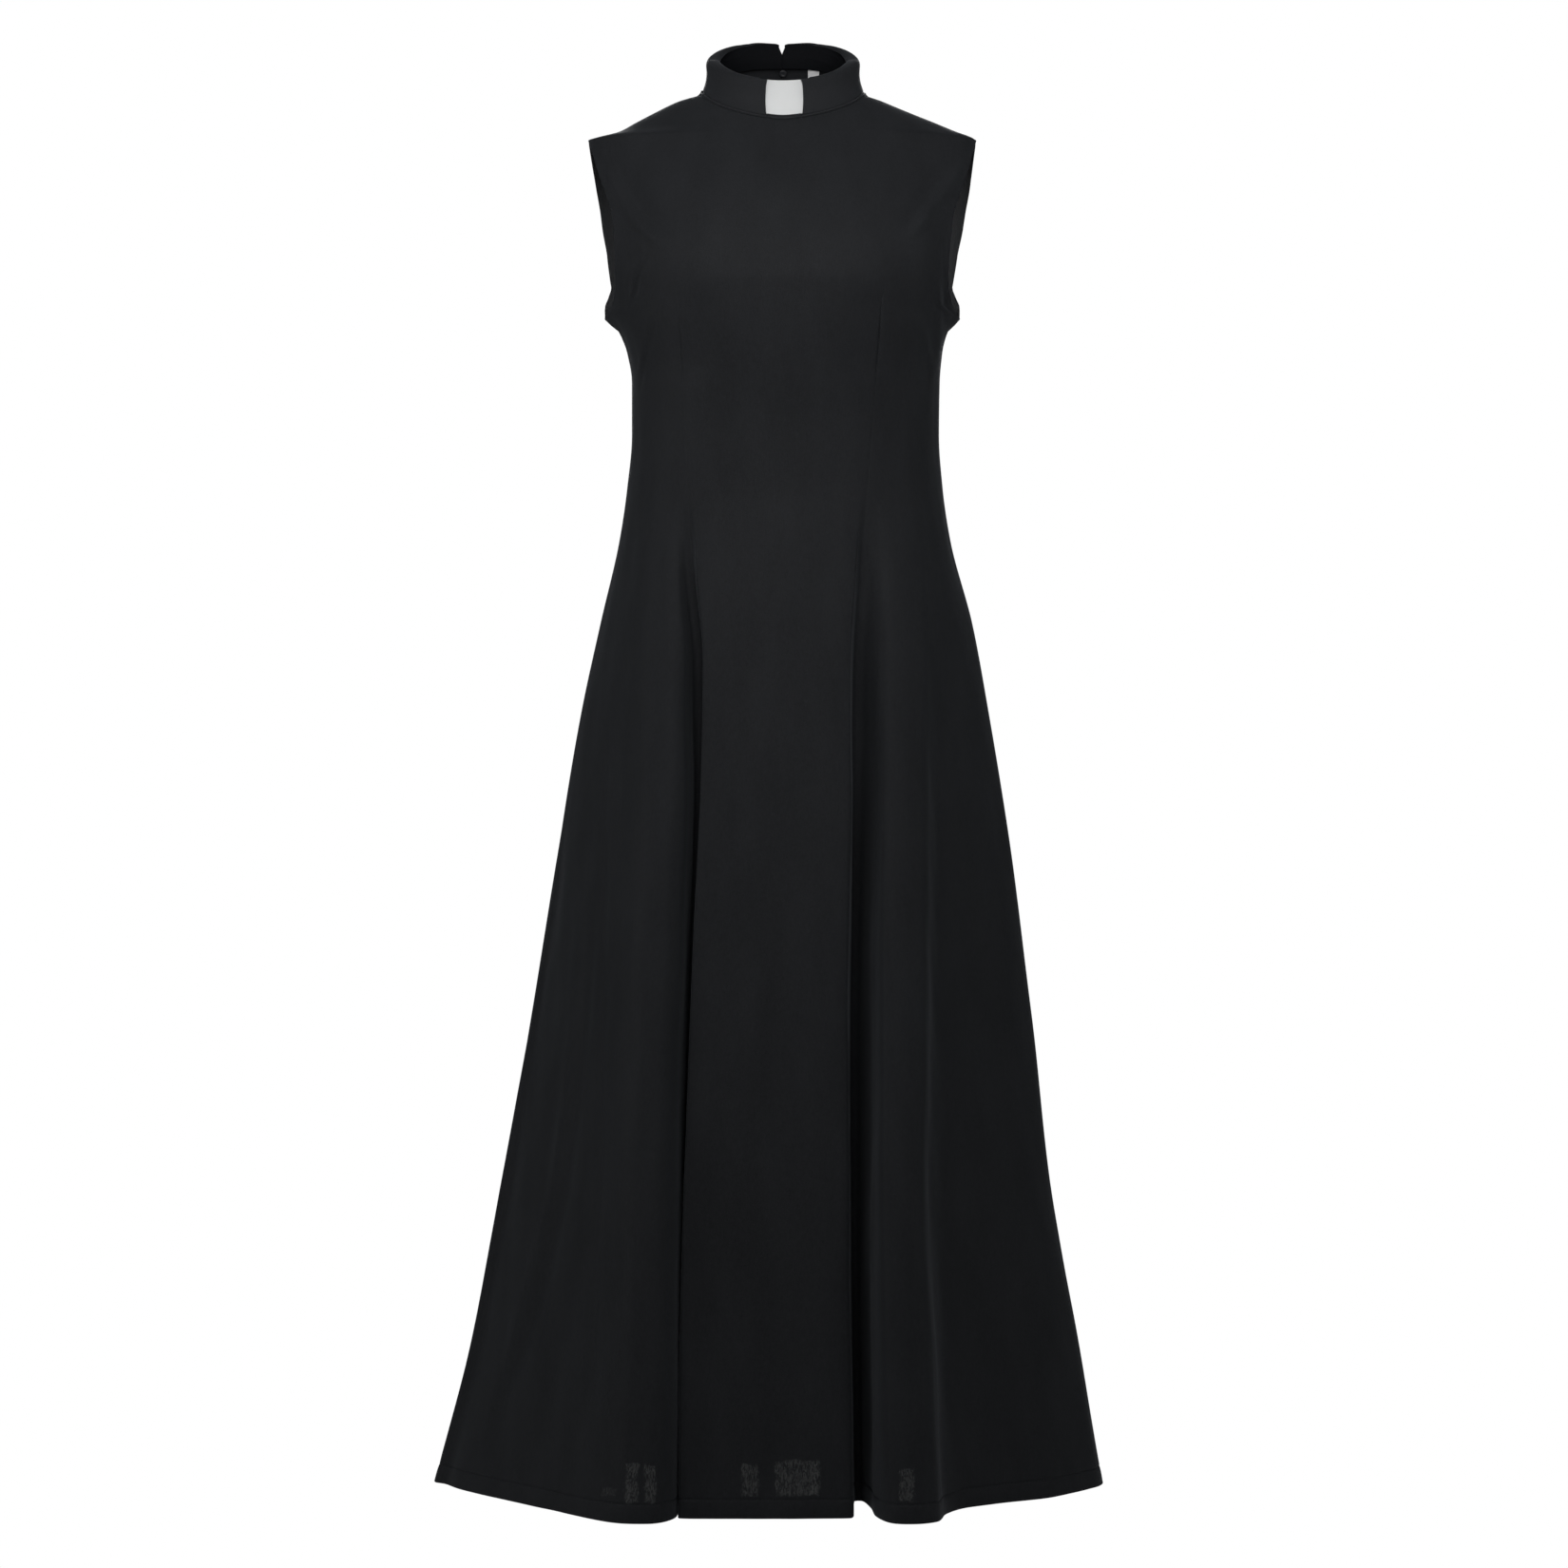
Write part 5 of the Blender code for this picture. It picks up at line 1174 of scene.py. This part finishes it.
collar_cloth = crepe_material("collar_crepe", COLLAR_COLOUR, COLLAR_ROUGHNESS, CREPE_SHEEN, COLLAR_GRAIN,
                              COLLAR_BUMP)
collar_ups = np.concatenate([np.linspace(*run) for run in COLLAR_ROW_RUNS])
collar_ends = {
    "collar_left": (back_end_turn(-1, collar_ups), window_turn(-1, collar_ups)),
    "collar_right": (window_turn(1, collar_ups), back_end_turn(1, collar_ups)),
}
for half_name, (starts, ends) in collar_ends.items():
    turns, ups = collar_grid(starts, ends, collar_ups)
    inward = collar_inward(turns, ups)
    rise = ups * COLLAR_HEIGHT
    lift = FOOT_ROLL_LIFT * np.exp(-((rise - FOOT_ROLL_HEIGHT) / FOOT_ROLL_WIDTH) ** 2)
    lift -= FOOT_GROOVE_DIP * np.exp(-((rise - FOOT_GROOVE_HEIGHT) / FOOT_GROOVE_WIDTH) ** 2)
    face = collar_point(turns, ups) - inward * lift[..., None]
    from_window = np.abs(face[..., 0] - WINDOW_CENTRE)
    clear_of_tab = ease(from_window, TAB_HALF_WIDTH + TAB_CLEARANCE[0], TAB_HALF_WIDTH + TAB_CLEARANCE[1])
    clear_of_tab = np.where(face[..., 1] > 0, 1.0, clear_of_tab)
    wall = COLLAR_WALL + (FOLD_OVER_WALL - COLLAR_WALL) * ease(ups, *FOLD_OVER_SHARES) * clear_of_tab
    half = cloth_shell(half_name + "_half", face, -inward, wall)
    half.data.materials.append(collar_cloth)
    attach(half, "dress")
    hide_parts(half_name)

# Inner collar band: one strip of the collar's crepe inside both halves, from one back end to the other, painted
# dark as the shade inside the neck.
# It is caught in the neck seam and the folded top and passes behind the tab. Below the tab its foot comes
# forward to close the window.
BAND_WALL = 0.0013
BAND_ROW_RUNS = ((0.985, 0.80, 14), (0.76, 0.2, 16), (0.17, 0.0, 16))
TAB_WALL = 0.0009
TAB_FOOT_SHARE = 0.16
SLIDE_GAP = 0.0003
LEDGE_SIDE_INSETS = (0.0016, 0.0004)
LEDGE_TOP_INSETS = (0.020, 0.006)
LEDGE_FILL = 0.8
LEDGE_SLOT = 1
# Painted shade: the band inside the neck is painted about four times darker than the collar's crepe; its foot
# below the tab keeps the crepe.
COLLAR_PAINTED_SHADE_COLOUR = (0.0042, 0.0046, 0.0056)
# Soft wrinkles inside the collar: turn, share of the height, half widths of both, and height in millimetres
BAND_WRINKLES = (
    (-132, 0.62, 22, 0.035, 0.5),
    (-112, 0.48, 18, 0.040, 0.4),
    (-150, 0.78, 14, 0.030, 0.35),
    (128, 0.66, 24, 0.035, 0.45),
    (110, 0.50, 16, 0.040, 0.4),
    (152, 0.42, 14, 0.030, 0.35),
    (60, 0.60, 20, 0.040, 0.3),
    (-66, 0.55, 20, 0.040, 0.3),
)
WRINKLE_SLANT = 0.002
collar_shade_material = crepe_material("collar_inside", COLLAR_PAINTED_SHADE_COLOUR, INSIDE_ROUGHNESS, 0.0, COLLAR_GRAIN,
                               COLLAR_BUMP)
band_rows = np.concatenate([np.linspace(*run) for run in BAND_ROW_RUNS])
band_turns, band_ups = collar_grid(back_end_turn(-1, band_rows), back_end_turn(1, band_rows), band_rows)
band_inward = collar_inward(band_turns, band_ups)
band_depth = np.full(band_turns.shape, COLLAR_WALL + TAB_WALL + 2.0 * SLIDE_GAP)
band_place = collar_point(band_turns, band_ups)
ledge_sides = [WINDOW_HALF_WIDTH - inset for inset in LEDGE_SIDE_INSETS]
ledge_top = [TAB_FOOT_SHARE - inset for inset in LEDGE_TOP_INSETS]
band_aside = np.abs(band_place[..., 0] - WINDOW_CENTRE)
in_window = (band_place[..., 1] < 0) * (1.0 - ease(band_aside, *ledge_sides))
foot_ledge = in_window * (1.0 - ease(band_ups, *ledge_top))
band_depth -= foot_ledge * (COLLAR_WALL + TAB_WALL)
band_rise = band_ups * COLLAR_HEIGHT
band_depth -= foot_ledge * FOOT_ROLL_LIFT * np.exp(-((band_rise - FOOT_ROLL_HEIGHT) / FOOT_ROLL_WIDTH) ** 2)
for wrinkle_turn, wrinkle_up, turn_reach, up_reach, height in BAND_WRINKLES:
    away = ((band_turns - wrinkle_turn) / turn_reach) ** 2
    away = away + ((band_ups - wrinkle_up - WRINKLE_SLANT * (band_turns - wrinkle_turn)) / up_reach) ** 2
    band_depth += height * MILLIMETRE * np.exp(-away)
band_face = band_place + band_inward * band_depth[..., None]
band_wall = BAND_WALL + foot_ledge * (COLLAR_WALL + TAB_WALL) * LEDGE_FILL
inner_band = cloth_shell("collar_inner_band", band_face, -band_inward, band_wall)
inner_band.data.materials.append(collar_shade_material)
inner_band.data.materials.append(collar_cloth)
foot_top = float(collar_point(0.0, TAB_FOOT_SHARE)[2])
for face in inner_band.data.polygons:
    below_tab = face.center.z < foot_top and abs(face.center.x - WINDOW_CENTRE) < WINDOW_HALF_WIDTH
    if below_tab and face.center.y < 0 and face.normal.y < 0:
        face.material_index = LEDGE_SLOT
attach(inner_band, "dress")
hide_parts("collar_band")

# White tab: a thin slip of smooth white plastic with square corners and rounded edges, bowed to the neck.
# It is pushed down into the window of the collar and held there by the two halves.
TAB_COLUMNS = 36
TAB_ROWS = 28
TAB_BOW = 0.0009
TAB_BOW_SHARE = 0.5
TAB_COLOUR = (0.64, 0.65, 0.65)
TAB_ROUGHNESS = 0.38
TAB_COAT = 0.2
TAB_COAT_ROUGHNESS = 0.25
TAB_BUMP = (0.05, 0.0005)
TAB_HAZE = {"Depth": 0.06, "Size": 60.0}
tab_shares = np.linspace(-1.0, 1.0, TAB_COLUMNS)
tab_ups = np.linspace(1.0, TAB_FOOT_SHARE, TAB_ROWS)
tab_across, tab_up = np.meshgrid(WINDOW_CENTRE + TAB_HALF_WIDTH * tab_shares, tab_ups)
tab_turn = np.degrees(np.arcsin(tab_across / COLLAR_TOP_HALF_WIDTH))
tab_inward = collar_inward(tab_turn, tab_up)
tab_face = collar_point(tab_turn, tab_up) + tab_inward * (COLLAR_WALL + SLIDE_GAP)
bow_out = TAB_BOW * np.cos(tab_shares * math.pi / 2.0)[None, :] * ease(tab_up, TAB_FOOT_SHARE, TAB_BOW_SHARE)
tab_face = tab_face - tab_inward * bow_out[..., None]
tab = cloth_shell("white_tab_slip", tab_face, -tab_inward, TAB_WALL)

# Plastic haze: the slow cloudy change of shade and height of moulded plastic, lacquer and nylon
HAZE_DETAIL = 3.0
plastic_haze, haze_in, haze_out = new_group("plastic_haze", TAB_HAZE.items(), ("Shade", "Height"))
haze_noise = node(plastic_haze, "ShaderNodeTexNoise", Detail=HAZE_DETAIL)
haze_place = node(plastic_haze, "ShaderNodeTexCoord").outputs["Object"]
plastic_haze.links.new(haze_place, haze_noise.inputs["Vector"])
plastic_haze.links.new(haze_in["Size"], haze_noise.inputs["Scale"])
haze_change = swing(plastic_haze, haze_noise.outputs[0], haze_in["Depth"])
plastic_haze.links.new(calculate(plastic_haze, "ADD", haze_change, 1.0), haze_out["Shade"])
plastic_haze.links.new(haze_noise.outputs[0], haze_out["Height"])


def hazed_material(name, colour, roughness, haze, metallic=0.0, relief=None):
    """A material shaded by the haze, with the relief's strength and distance where it has one."""
    material, shader = plain_material(name, colour, roughness, metallic)
    tree = material.node_tree
    placed = placed_group(tree, plastic_haze, haze)
    tree.links.new(tint(tree, colour, placed["Shade"]), shader.inputs["Base Color"])
    if relief:
        bump(tree, shader, placed["Height"], *relief)
    return material, shader


tab_material, tab_shader = hazed_material("white_plastic", TAB_COLOUR, TAB_ROUGHNESS, TAB_HAZE,
                                          relief=TAB_BUMP)
tab_shader.inputs["Coat Weight"].default_value = TAB_COAT
tab_shader.inputs["Coat Roughness"].default_value = TAB_COAT_ROUGHNESS
tab.data.materials.append(tab_material)
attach(tab, "dress")
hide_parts("tab_insert")

# Button loop: a short loop of black thread at the centre back of the collar, which takes the neck button.
# It stands up from the neck seam, where both its ends are sewn in.
LOOP_RADIUS = 0.00045
LOOP_PATH = (
    (-0.0040, 0.0567, 0.0560),
    (-0.0037, 0.0560, 0.0600),
    (-0.0026, 0.0557, 0.0635),
    (-0.0014, 0.0558, 0.0640),
    (-0.0006, 0.0562, 0.0622),
    (-0.0006, 0.0566, 0.0595),
    (-0.0012, 0.0570, 0.0565),
)
LOOP_SIDES = 10
LOOP_STEPS = 5


def tube(name, path, radius, sides, steps):
    """A round cord along a smooth path, closed at both ends."""
    path = [Vector(point) for point in path]
    padded_path = [path[0] * 2 - path[1]] + path + [path[-1] * 2 - path[-2]]
    spots = []
    for place in range(1, len(path)):
        before, start, end, after = padded_path[place - 1:place + 3]
        for step in range(steps):
            t = step / steps
            spots.append((start * 2 + (end - before) * t + (before * 2 - start * 5 + end * 4 - after) * t * t
                          + (start * 3 - before - end * 3 + after) * t ** 3) / 2)
    spots.append(path[-1])
    vertices = []
    faces = []
    side = Vector((1.0, 0.0, 0.0))
    for place, spot in enumerate(spots):
        heading = (spots[min(place + 1, len(spots) - 1)] - spots[max(place - 1, 0)]).normalized()
        side = (side - heading * side.dot(heading)).normalized()
        upward = heading.cross(side)
        for turn in range(sides):
            angle = 2.0 * math.pi * turn / sides
            vertices.append(tuple(spot + (side * math.cos(angle) + upward * math.sin(angle)) * radius))
        if place:
            here = (place - 1) * sides
            for turn in range(sides):
                after_turn = (turn + 1) % sides
                faces.append((here + turn, here + after_turn, here + sides + after_turn, here + sides + turn))
    faces.append(tuple(reversed(range(sides))))
    faces.append(tuple(range(len(vertices) - sides, len(vertices))))
    return mesh_object(name, vertices, faces)


button_loop = tube("button_loop", LOOP_PATH, LOOP_RADIUS, LOOP_SIDES, LOOP_STEPS)
button_loop.data.materials.append(thread)
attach(button_loop, "dress")

# Neck button: a small round button of dark grey plastic, turned with a raised rim and a sunk middle.
# It is sewn inside the back neck, just below the collar and the thread loop.
BUTTON_HEIGHT = 0.0536
BUTTON_RADIUS = 0.0034
BUTTON_THICKNESS = 0.0020
BUTTON_SIDES = 48
# Shares of the radius and of the thickness, from the middle of the face round to the middle of the back
BUTTON_PROFILE = ((0.00, 0.30), (0.30, 0.30), (0.52, 0.34), (0.62, 0.46), (0.74, 0.50), (0.88, 0.46),
                  (0.97, 0.30), (1.00, 0.05), (0.96, -0.28), (0.82, -0.46), (0.55, -0.50), (0.00, -0.50))
BUTTON_COLOUR = (0.020, 0.021, 0.024)
BUTTON_ROUGHNESS = 0.34
BUTTON_HAZE = {"Depth": 0.3, "Size": 500.0}
BACK_WALL = 0.0014


def back_frame(height):
    """Place and directions at the centre back: across, down along the cloth, and out of it."""
    point = Vector(body_point(180.0, height))
    out = Vector(outward(body_point, np.array([180.0]), np.array([height]), TURN_NUDGE)[0])
    across = Vector((1.0, 0.0, 0.0))
    down = out.cross(across)
    if down.z > 0:
        down = -down
    return point, across, down.normalized(), out.normalized()


def turned_mesh(name, profile, radius, thickness, sides):
    """A round piece turned about its own axis from shares of its radius and thickness."""
    vertices = []
    faces = []
    for share, level in profile[1:-1]:
        reach = share * radius
        for turn in range(sides):
            angle = 2.0 * math.pi * turn / sides
            vertices.append((reach * math.cos(angle), reach * math.sin(angle), level * thickness))
    rings = len(profile) - 2
    for ring in range(rings - 1):
        for turn in range(sides):
            after = (turn + 1) % sides
            faces.append((ring * sides + turn, (ring + 1) * sides + turn, (ring + 1) * sides + after,
                          ring * sides + after))
    top = len(vertices)
    vertices.append((0.0, 0.0, profile[0][1] * thickness))
    vertices.append((0.0, 0.0, profile[-1][1] * thickness))
    for turn in range(sides):
        after = (turn + 1) % sides
        faces.append((top, turn, after))
        faces.append((top + 1, (rings - 1) * sides + after, (rings - 1) * sides + turn))
    return mesh_object(name, vertices, faces)


button_point, button_across, button_down, button_out = back_frame(BUTTON_HEIGHT)
button = turned_mesh("neck_button_disc", BUTTON_PROFILE, BUTTON_RADIUS, BUTTON_THICKNESS, BUTTON_SIDES)
button_centre = button_point - button_out * (BACK_WALL + 2.0 * SLIDE_GAP + BUTTON_THICKNESS / 2.0)
button_turned = Matrix.Translation(button_centre) @ Matrix(
    (button_across, button_down, -button_out)).transposed().to_4x4()
button.data.transform(button_turned)
button.data.materials.append(
    hazed_material("dark_button_plastic", BUTTON_COLOUR, BUTTON_ROUGHNESS, BUTTON_HAZE)[0])
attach(button, "dress")
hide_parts("neck_button")

# Size label: a short piece of white woven tape, folded, with nothing on it.
# It is caught in the back neck seam and hangs inside the right back panel, its free end a little curled.
LABEL_TURN = 156.0
LABEL_WIDTH_TURN = 8.5
LABEL_TOP_DROP = 0.0005
LABEL_DROP = 0.0115
LABEL_WALL = 0.0006
LABEL_COLUMNS = 22
LABEL_ROWS = 20
LABEL_CURL = 0.0006
LABEL_CURL_MIDDLE = 0.6
LABEL_CURL_SIDES = 0.4
LABEL_COLOUR = (0.74, 0.74, 0.74)
LABEL_WEAVE = {"Threads": 9000.0, "Depth": 0.08}
LABEL_ROUGHNESS = 0.7
label_shares = np.linspace(-1.0, 1.0, LABEL_COLUMNS)
label_half_turn = LABEL_WIDTH_TURN / 2.0
label_turns = np.linspace(LABEL_TURN - label_half_turn, LABEL_TURN + label_half_turn, LABEL_COLUMNS)
label_tops = neckline_point(label_turns)
label_rows = []
label_directions = []
for drop in np.linspace(LABEL_TOP_DROP, LABEL_DROP, LABEL_ROWS):
    heights = label_tops[:, 2] - drop
    body_turns = 180.0 - turn_at(label_tops[:, 0], heights)
    direction = outward(body_point, body_turns, heights, TURN_NUDGE)
    curl = LABEL_CURL * (drop / LABEL_DROP) ** 2 * (LABEL_CURL_MIDDLE + LABEL_CURL_SIDES * label_shares ** 2)
    depth = BACK_WALL + 3.0 * SLIDE_GAP + curl
    label_rows.append(body_point(body_turns, heights) - direction * depth[:, None])
    label_directions.append(direction)
label = cloth_shell("size_label_tape", np.array(label_rows), np.array(label_directions), LABEL_WALL)

# Woven tape: upright and level threads crossing, as a change of shade and height
TAPE_SPECULAR = 0.3
TAPE_BUMP = (0.4, 0.0002)
woven_tape, tape_in, tape_out = new_group("woven_tape", LABEL_WEAVE.items(), ("Shade", "Height"))
tape_axes = node(woven_tape, "ShaderNodeSeparateXYZ")
woven_tape.links.new(node(woven_tape, "ShaderNodeTexCoord").outputs["Object"], tape_axes.inputs[0])
warp = calculate(woven_tape, "MULTIPLY", tape_axes.outputs["X"], tape_in["Threads"])
weft = calculate(woven_tape, "MULTIPLY", tape_axes.outputs["Z"], tape_in["Threads"])
warp = calculate(woven_tape, "SINE", warp)
weft = calculate(woven_tape, "SINE", weft)
weave = calculate(woven_tape, "MULTIPLY", warp, weft)
woven_tape.links.new(calculate(woven_tape, "MULTIPLY_ADD", weave, tape_in["Depth"], 1.0), tape_out["Shade"])
woven_tape.links.new(weave, tape_out["Height"])


def tape_material(name, colour, roughness, weave):
    material, shader = plain_material(name, colour, roughness, specular=TAPE_SPECULAR)
    tree = material.node_tree
    woven = placed_group(tree, woven_tape, weave)
    tree.links.new(tint(tree, colour, woven["Shade"]), shader.inputs["Base Color"])
    bump(tree, shader, woven["Height"], *TAPE_BUMP)
    return material


label.data.materials.append(tape_material("white_label_tape", LABEL_COLOUR, LABEL_ROUGHNESS, LABEL_WEAVE))
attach(label, "dress")
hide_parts("size_label")

# Back zip tapes: two narrow strips of black knitted tape, sewn inside the back panels beside the seam.
# They run from the neck to below the waist, and the zip between them is hidden when it is closed.
ZIP_TOP = 0.044
ZIP_LENGTH = 0.52
ZIP_FACE_DEPTH = 0.0017
TAPE_WALL = 0.0008
TAPE_WIDTH = 0.0115
TAPE_TOP_GAP = 0.001
TAPE_SEAM_GAP = 0.0005
TAPE_COLUMNS = 8
TAPE_STEP = 0.004
TAPE_COLOUR = (0.0075, 0.0078, 0.0085)
TAPE_ROUGHNESS = 0.8
TAPE_WEAVE = {"Threads": 6000.0, "Depth": 0.3}
DEPTH_NUDGE = 0.001
zip_heights = np.arange(ZIP_TOP - TAPE_TOP_GAP, ZIP_TOP - ZIP_LENGTH, -TAPE_STEP)
zip_tape_material = tape_material("black_zip_tape", TAPE_COLOUR, TAPE_ROUGHNESS, TAPE_WEAVE)


def seam_point(side, from_seam, height, depth):
    """Point beside the centre back seam, set in from the back's outer face."""
    turn = side * (180.0 - np.abs(turn_at(from_seam, height)))
    direction = outward(body_point, turn, height, TURN_NUDGE)
    folded = ring_point(np.zeros(height.shape), height) - body_point(180.0, height)
    folded = np.where(height[..., None] < UNDERARM_HEIGHT, folded, 0.0)
    return body_point(turn, height) + folded - direction * depth


for side, word in ((-1, "left"), (1, "right")):
    across, down = np.meshgrid(np.linspace(TAPE_SEAM_GAP, TAPE_WIDTH, TAPE_COLUMNS), zip_heights)
    face = seam_point(side, across, down, ZIP_FACE_DEPTH)
    towards = unit(seam_point(side, across, down, 0.0) - seam_point(side, across, down, DEPTH_NUDGE))
    if side > 0:
        face = face[:, ::-1]
        towards = towards[:, ::-1]
    strip = cloth_shell("zip_tape_" + word + "_strip", face, towards, TAPE_WALL)
    strip.data.materials.append(zip_tape_material)
    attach(strip, "dress")
    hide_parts("zip_tape_" + word)

# Zip coil: a coil of black nylon along the inner edge of each tape, held by the tape's stitches.
# The two sides' loops lie half a pitch apart, as they do in a zip that is closed up to its slider.
COIL_PITCH = 0.0024
COIL_RADIUS = 0.00035
COIL_FLATNESS = 1.6
# Each loop's path: distance from the seam, and how far it bulges inward
COIL_LOOP = ((0.0004, 0.0), (0.0009, 0.0009), (0.0019, 0.0011), (0.0027, 0.0005), (0.0027, -0.0001))
COIL_SHIFT = 0.0009
COIL_DEPTH = 0.0006
COIL_BULGE = 0.5
COIL_SIDES = 5
COIL_FOOT_GAP = 0.004
COIL_FOOT = ZIP_TOP - ZIP_LENGTH + COIL_FOOT_GAP
COIL_TOP = 0.024
COIL_COLOUR = (0.010, 0.010, 0.011)
COIL_ROUGHNESS = 0.4
COIL_HAZE = {"Depth": 0.3, "Size": 900.0}
coil_vertices = []
coil_faces = []
for side in (-1, 1):
    levels = np.arange(COIL_TOP, COIL_FOOT, -COIL_PITCH) - (COIL_PITCH / 2.0 if side > 0 else 0.0)
    loop_spots = np.stack([seam_point(side, np.full(levels.shape, from_seam - COIL_SHIFT), levels,
                                      ZIP_FACE_DEPTH + TAPE_WALL + COIL_DEPTH + bulge * COIL_BULGE)
                           for from_seam, bulge in COIL_LOOP], axis=1)
    for spots in loop_spots:
        base = len(coil_vertices)
        for spot_place, spot in enumerate(spots):
            ahead = spots[min(spot_place + 1, len(spots) - 1)] - spots[max(spot_place - 1, 0)]
            first = Vector((0.0, 0.0, 1.0))
            second = Vector(ahead).cross(first).normalized()
            for turn in range(COIL_SIDES):
                angle = 2.0 * math.pi * turn / COIL_SIDES
                thick = first * math.cos(angle) * COIL_FLATNESS + second * math.sin(angle)
                coil_vertices.append(tuple(Vector(spot) + thick * COIL_RADIUS))
        coil_faces += rod_faces(base, len(spots), COIL_SIDES)
zip_coil = mesh_object("zip_coil", coil_vertices, coil_faces)
zip_coil.data.materials.append(hazed_material("black_nylon", COIL_COLOUR, COIL_ROUGHNESS, COIL_HAZE)[0])
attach(zip_coil, "dress")

# Zip slider and pull tab: cast metal under black lacquer, their edges softly rounded.
# The slider sits on the seam above the coil, and the tab hangs from the slider's bridge and turns about it.
METAL_COLOUR = (0.030, 0.031, 0.034)
METAL_ROUGHNESS = 0.36
METAL_SHARE = 0.9
METAL_COAT = 0.3
METAL_BUMP = (0.12, 0.0002)
METAL_HAZE = {"Depth": 0.5, "Size": 700.0}
METAL_BEVEL = 0.00022
METAL_BEVEL_STEPS = 2
metal_material, metal_shader = hazed_material("black_lacquered_metal", METAL_COLOUR, METAL_ROUGHNESS,
                                              METAL_HAZE, METAL_SHARE, METAL_BUMP)
metal_shader.inputs["Coat Weight"].default_value = METAL_COAT
for node_name, piece_name, body in (("zip_slider", "zip_slider_body", "dress"),
                                    ("zip_pull", "zip_pull_plate", "zip_pull_tab")):
    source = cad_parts[node_name]
    piece = bpy.data.objects.new(piece_name, source.data.copy())
    bpy.context.scene.collection.objects.link(piece)
    piece.matrix_world = source.matrix_world.copy()
    bevel = piece.modifiers.new("rounded", "BEVEL")
    bevel.width = METAL_BEVEL
    bevel.segments = METAL_BEVEL_STEPS
    bevel.limit_method = "ANGLE"
    piece.data.materials.clear()
    piece.data.materials.append(metal_material)
    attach(piece, body)
    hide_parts(node_name)

# Studio: a plain pale sweep under and behind the dress, painted white to the camera.
# Soft lights: one high in front, two facing the chest, one at each side, the left one brighter, and one behind.
# The camera is level and far off, as the picture was taken.
SWEEP_HALF_WIDTH = 9.0
SWEEP_PROFILE = ((-6.0, -1.36), (4.0, -1.36), (4.8, -1.30), (5.4, -1.10), (5.8, -0.75), (6.0, -0.2),
                 (6.0, 5.0))
SWEEP_COLOUR = (0.55, 0.55, 0.55)
SWEEP_ROUGHNESS = 0.9
SWEEP_SPECULAR = 0.1
WHITE = (1.0, 1.0, 1.0, 1.0)
AIR_LIGHT = 0.02
sweep_vertices = [(side * SWEEP_HALF_WIDTH, y, z) for y, z in SWEEP_PROFILE for side in (-1, 1)]
sweep_faces = [(2 * k, 2 * k + 1, 2 * k + 3, 2 * k + 2) for k in range(len(SWEEP_PROFILE) - 1)]
sweep = mesh_object("studio_sweep", sweep_vertices, sweep_faces)
sweep_material, sweep_shader = plain_material("pale_sweep", SWEEP_COLOUR, SWEEP_ROUGHNESS,
                                              specular=SWEEP_SPECULAR)


def white_to_camera(tree, lit, kind, target):
    """Leaves a shader as it is for the light, and shows the camera a plain white one in its place."""
    seen = node(tree, kind, Strength=1.0)
    seen.inputs["Color"].default_value = WHITE
    mix = node(tree, "ShaderNodeMixShader")
    tree.links.new(node(tree, "ShaderNodeLightPath").outputs["Is Camera Ray"], mix.inputs[0])
    tree.links.new(lit.outputs[0], mix.inputs[1])
    tree.links.new(seen.outputs[0], mix.inputs[2])
    tree.links.new(mix.outputs[0], tree.nodes[target].inputs["Surface"])


white_to_camera(sweep_material.node_tree, sweep_shader, "ShaderNodeEmission", "Material Output")
sweep.data.materials.append(sweep_material)

world = bpy.data.worlds.new("studio_air")
bpy.context.scene.world = world
world.use_nodes = True
air = world.node_tree.nodes["Background"]
air.inputs["Color"].default_value = WHITE
air.inputs["Strength"].default_value = AIR_LIGHT
white_to_camera(world.node_tree, air, "ShaderNodeBackground", "World Output")

# Each light: name, place, what it points at, width, height and power
LIGHTS = (
    ("high_front", (0.0, -1.15, 0.66), (0.0, 0.0, -0.05), 2.6, 0.5, 13.0),
    ("chest_strip", (0.0, -1.3, 0.09), (0.0, 0.0, -0.14), 2.6, 0.18, 6.0),
    ("chest_fill", (0.0, -1.5, 0.05), (0.0, 0.0, -0.1), 1.0, 0.6, 2.2),
    ("left_side", (-2.6, -0.9, -0.15), (0.0, 0.0, -0.45), 1.2, 1.2, 12.0),
    ("right_side", (2.6, -0.9, -0.15), (0.0, 0.0, -0.45), 1.2, 1.2, 5.2),
    ("back_fill", (0.0, 2.4, 0.5), (0.0, 0.0, -0.4), 1.6, 1.2, 16.0),
)
for light_name, place, target, width, height, power in LIGHTS:
    light = bpy.data.lights.new(light_name, "AREA")
    light.shape = "RECTANGLE"
    light.size = width
    light.size_y = height
    light.energy = power
    lamp = bpy.data.objects.new(light_name, light)
    bpy.context.scene.collection.objects.link(lamp)
    lamp.location = place
    lamp.rotation_euler = (Vector(target) - Vector(place)).to_track_quat("-Z", "Y").to_euler()
    lamp.visible_camera = False

SENSOR_WIDTH = 36.0
bpy.context.scene.view_settings.view_transform = "Standard"
camera_data = bpy.data.cameras.new("front_camera")
camera_data.sensor_width = SENSOR_WIDTH
camera_data.lens = FOCAL_PIXELS / (2.0 * PICTURE_CENTRE) * camera_data.sensor_width
camera = bpy.data.objects.new("front_camera", camera_data)
bpy.context.scene.collection.objects.link(camera)
camera.location = CAMERA_PLACE
camera.rotation_euler = (math.radians(90.0), 0.0, 0.0)
bpy.context.scene.camera = camera
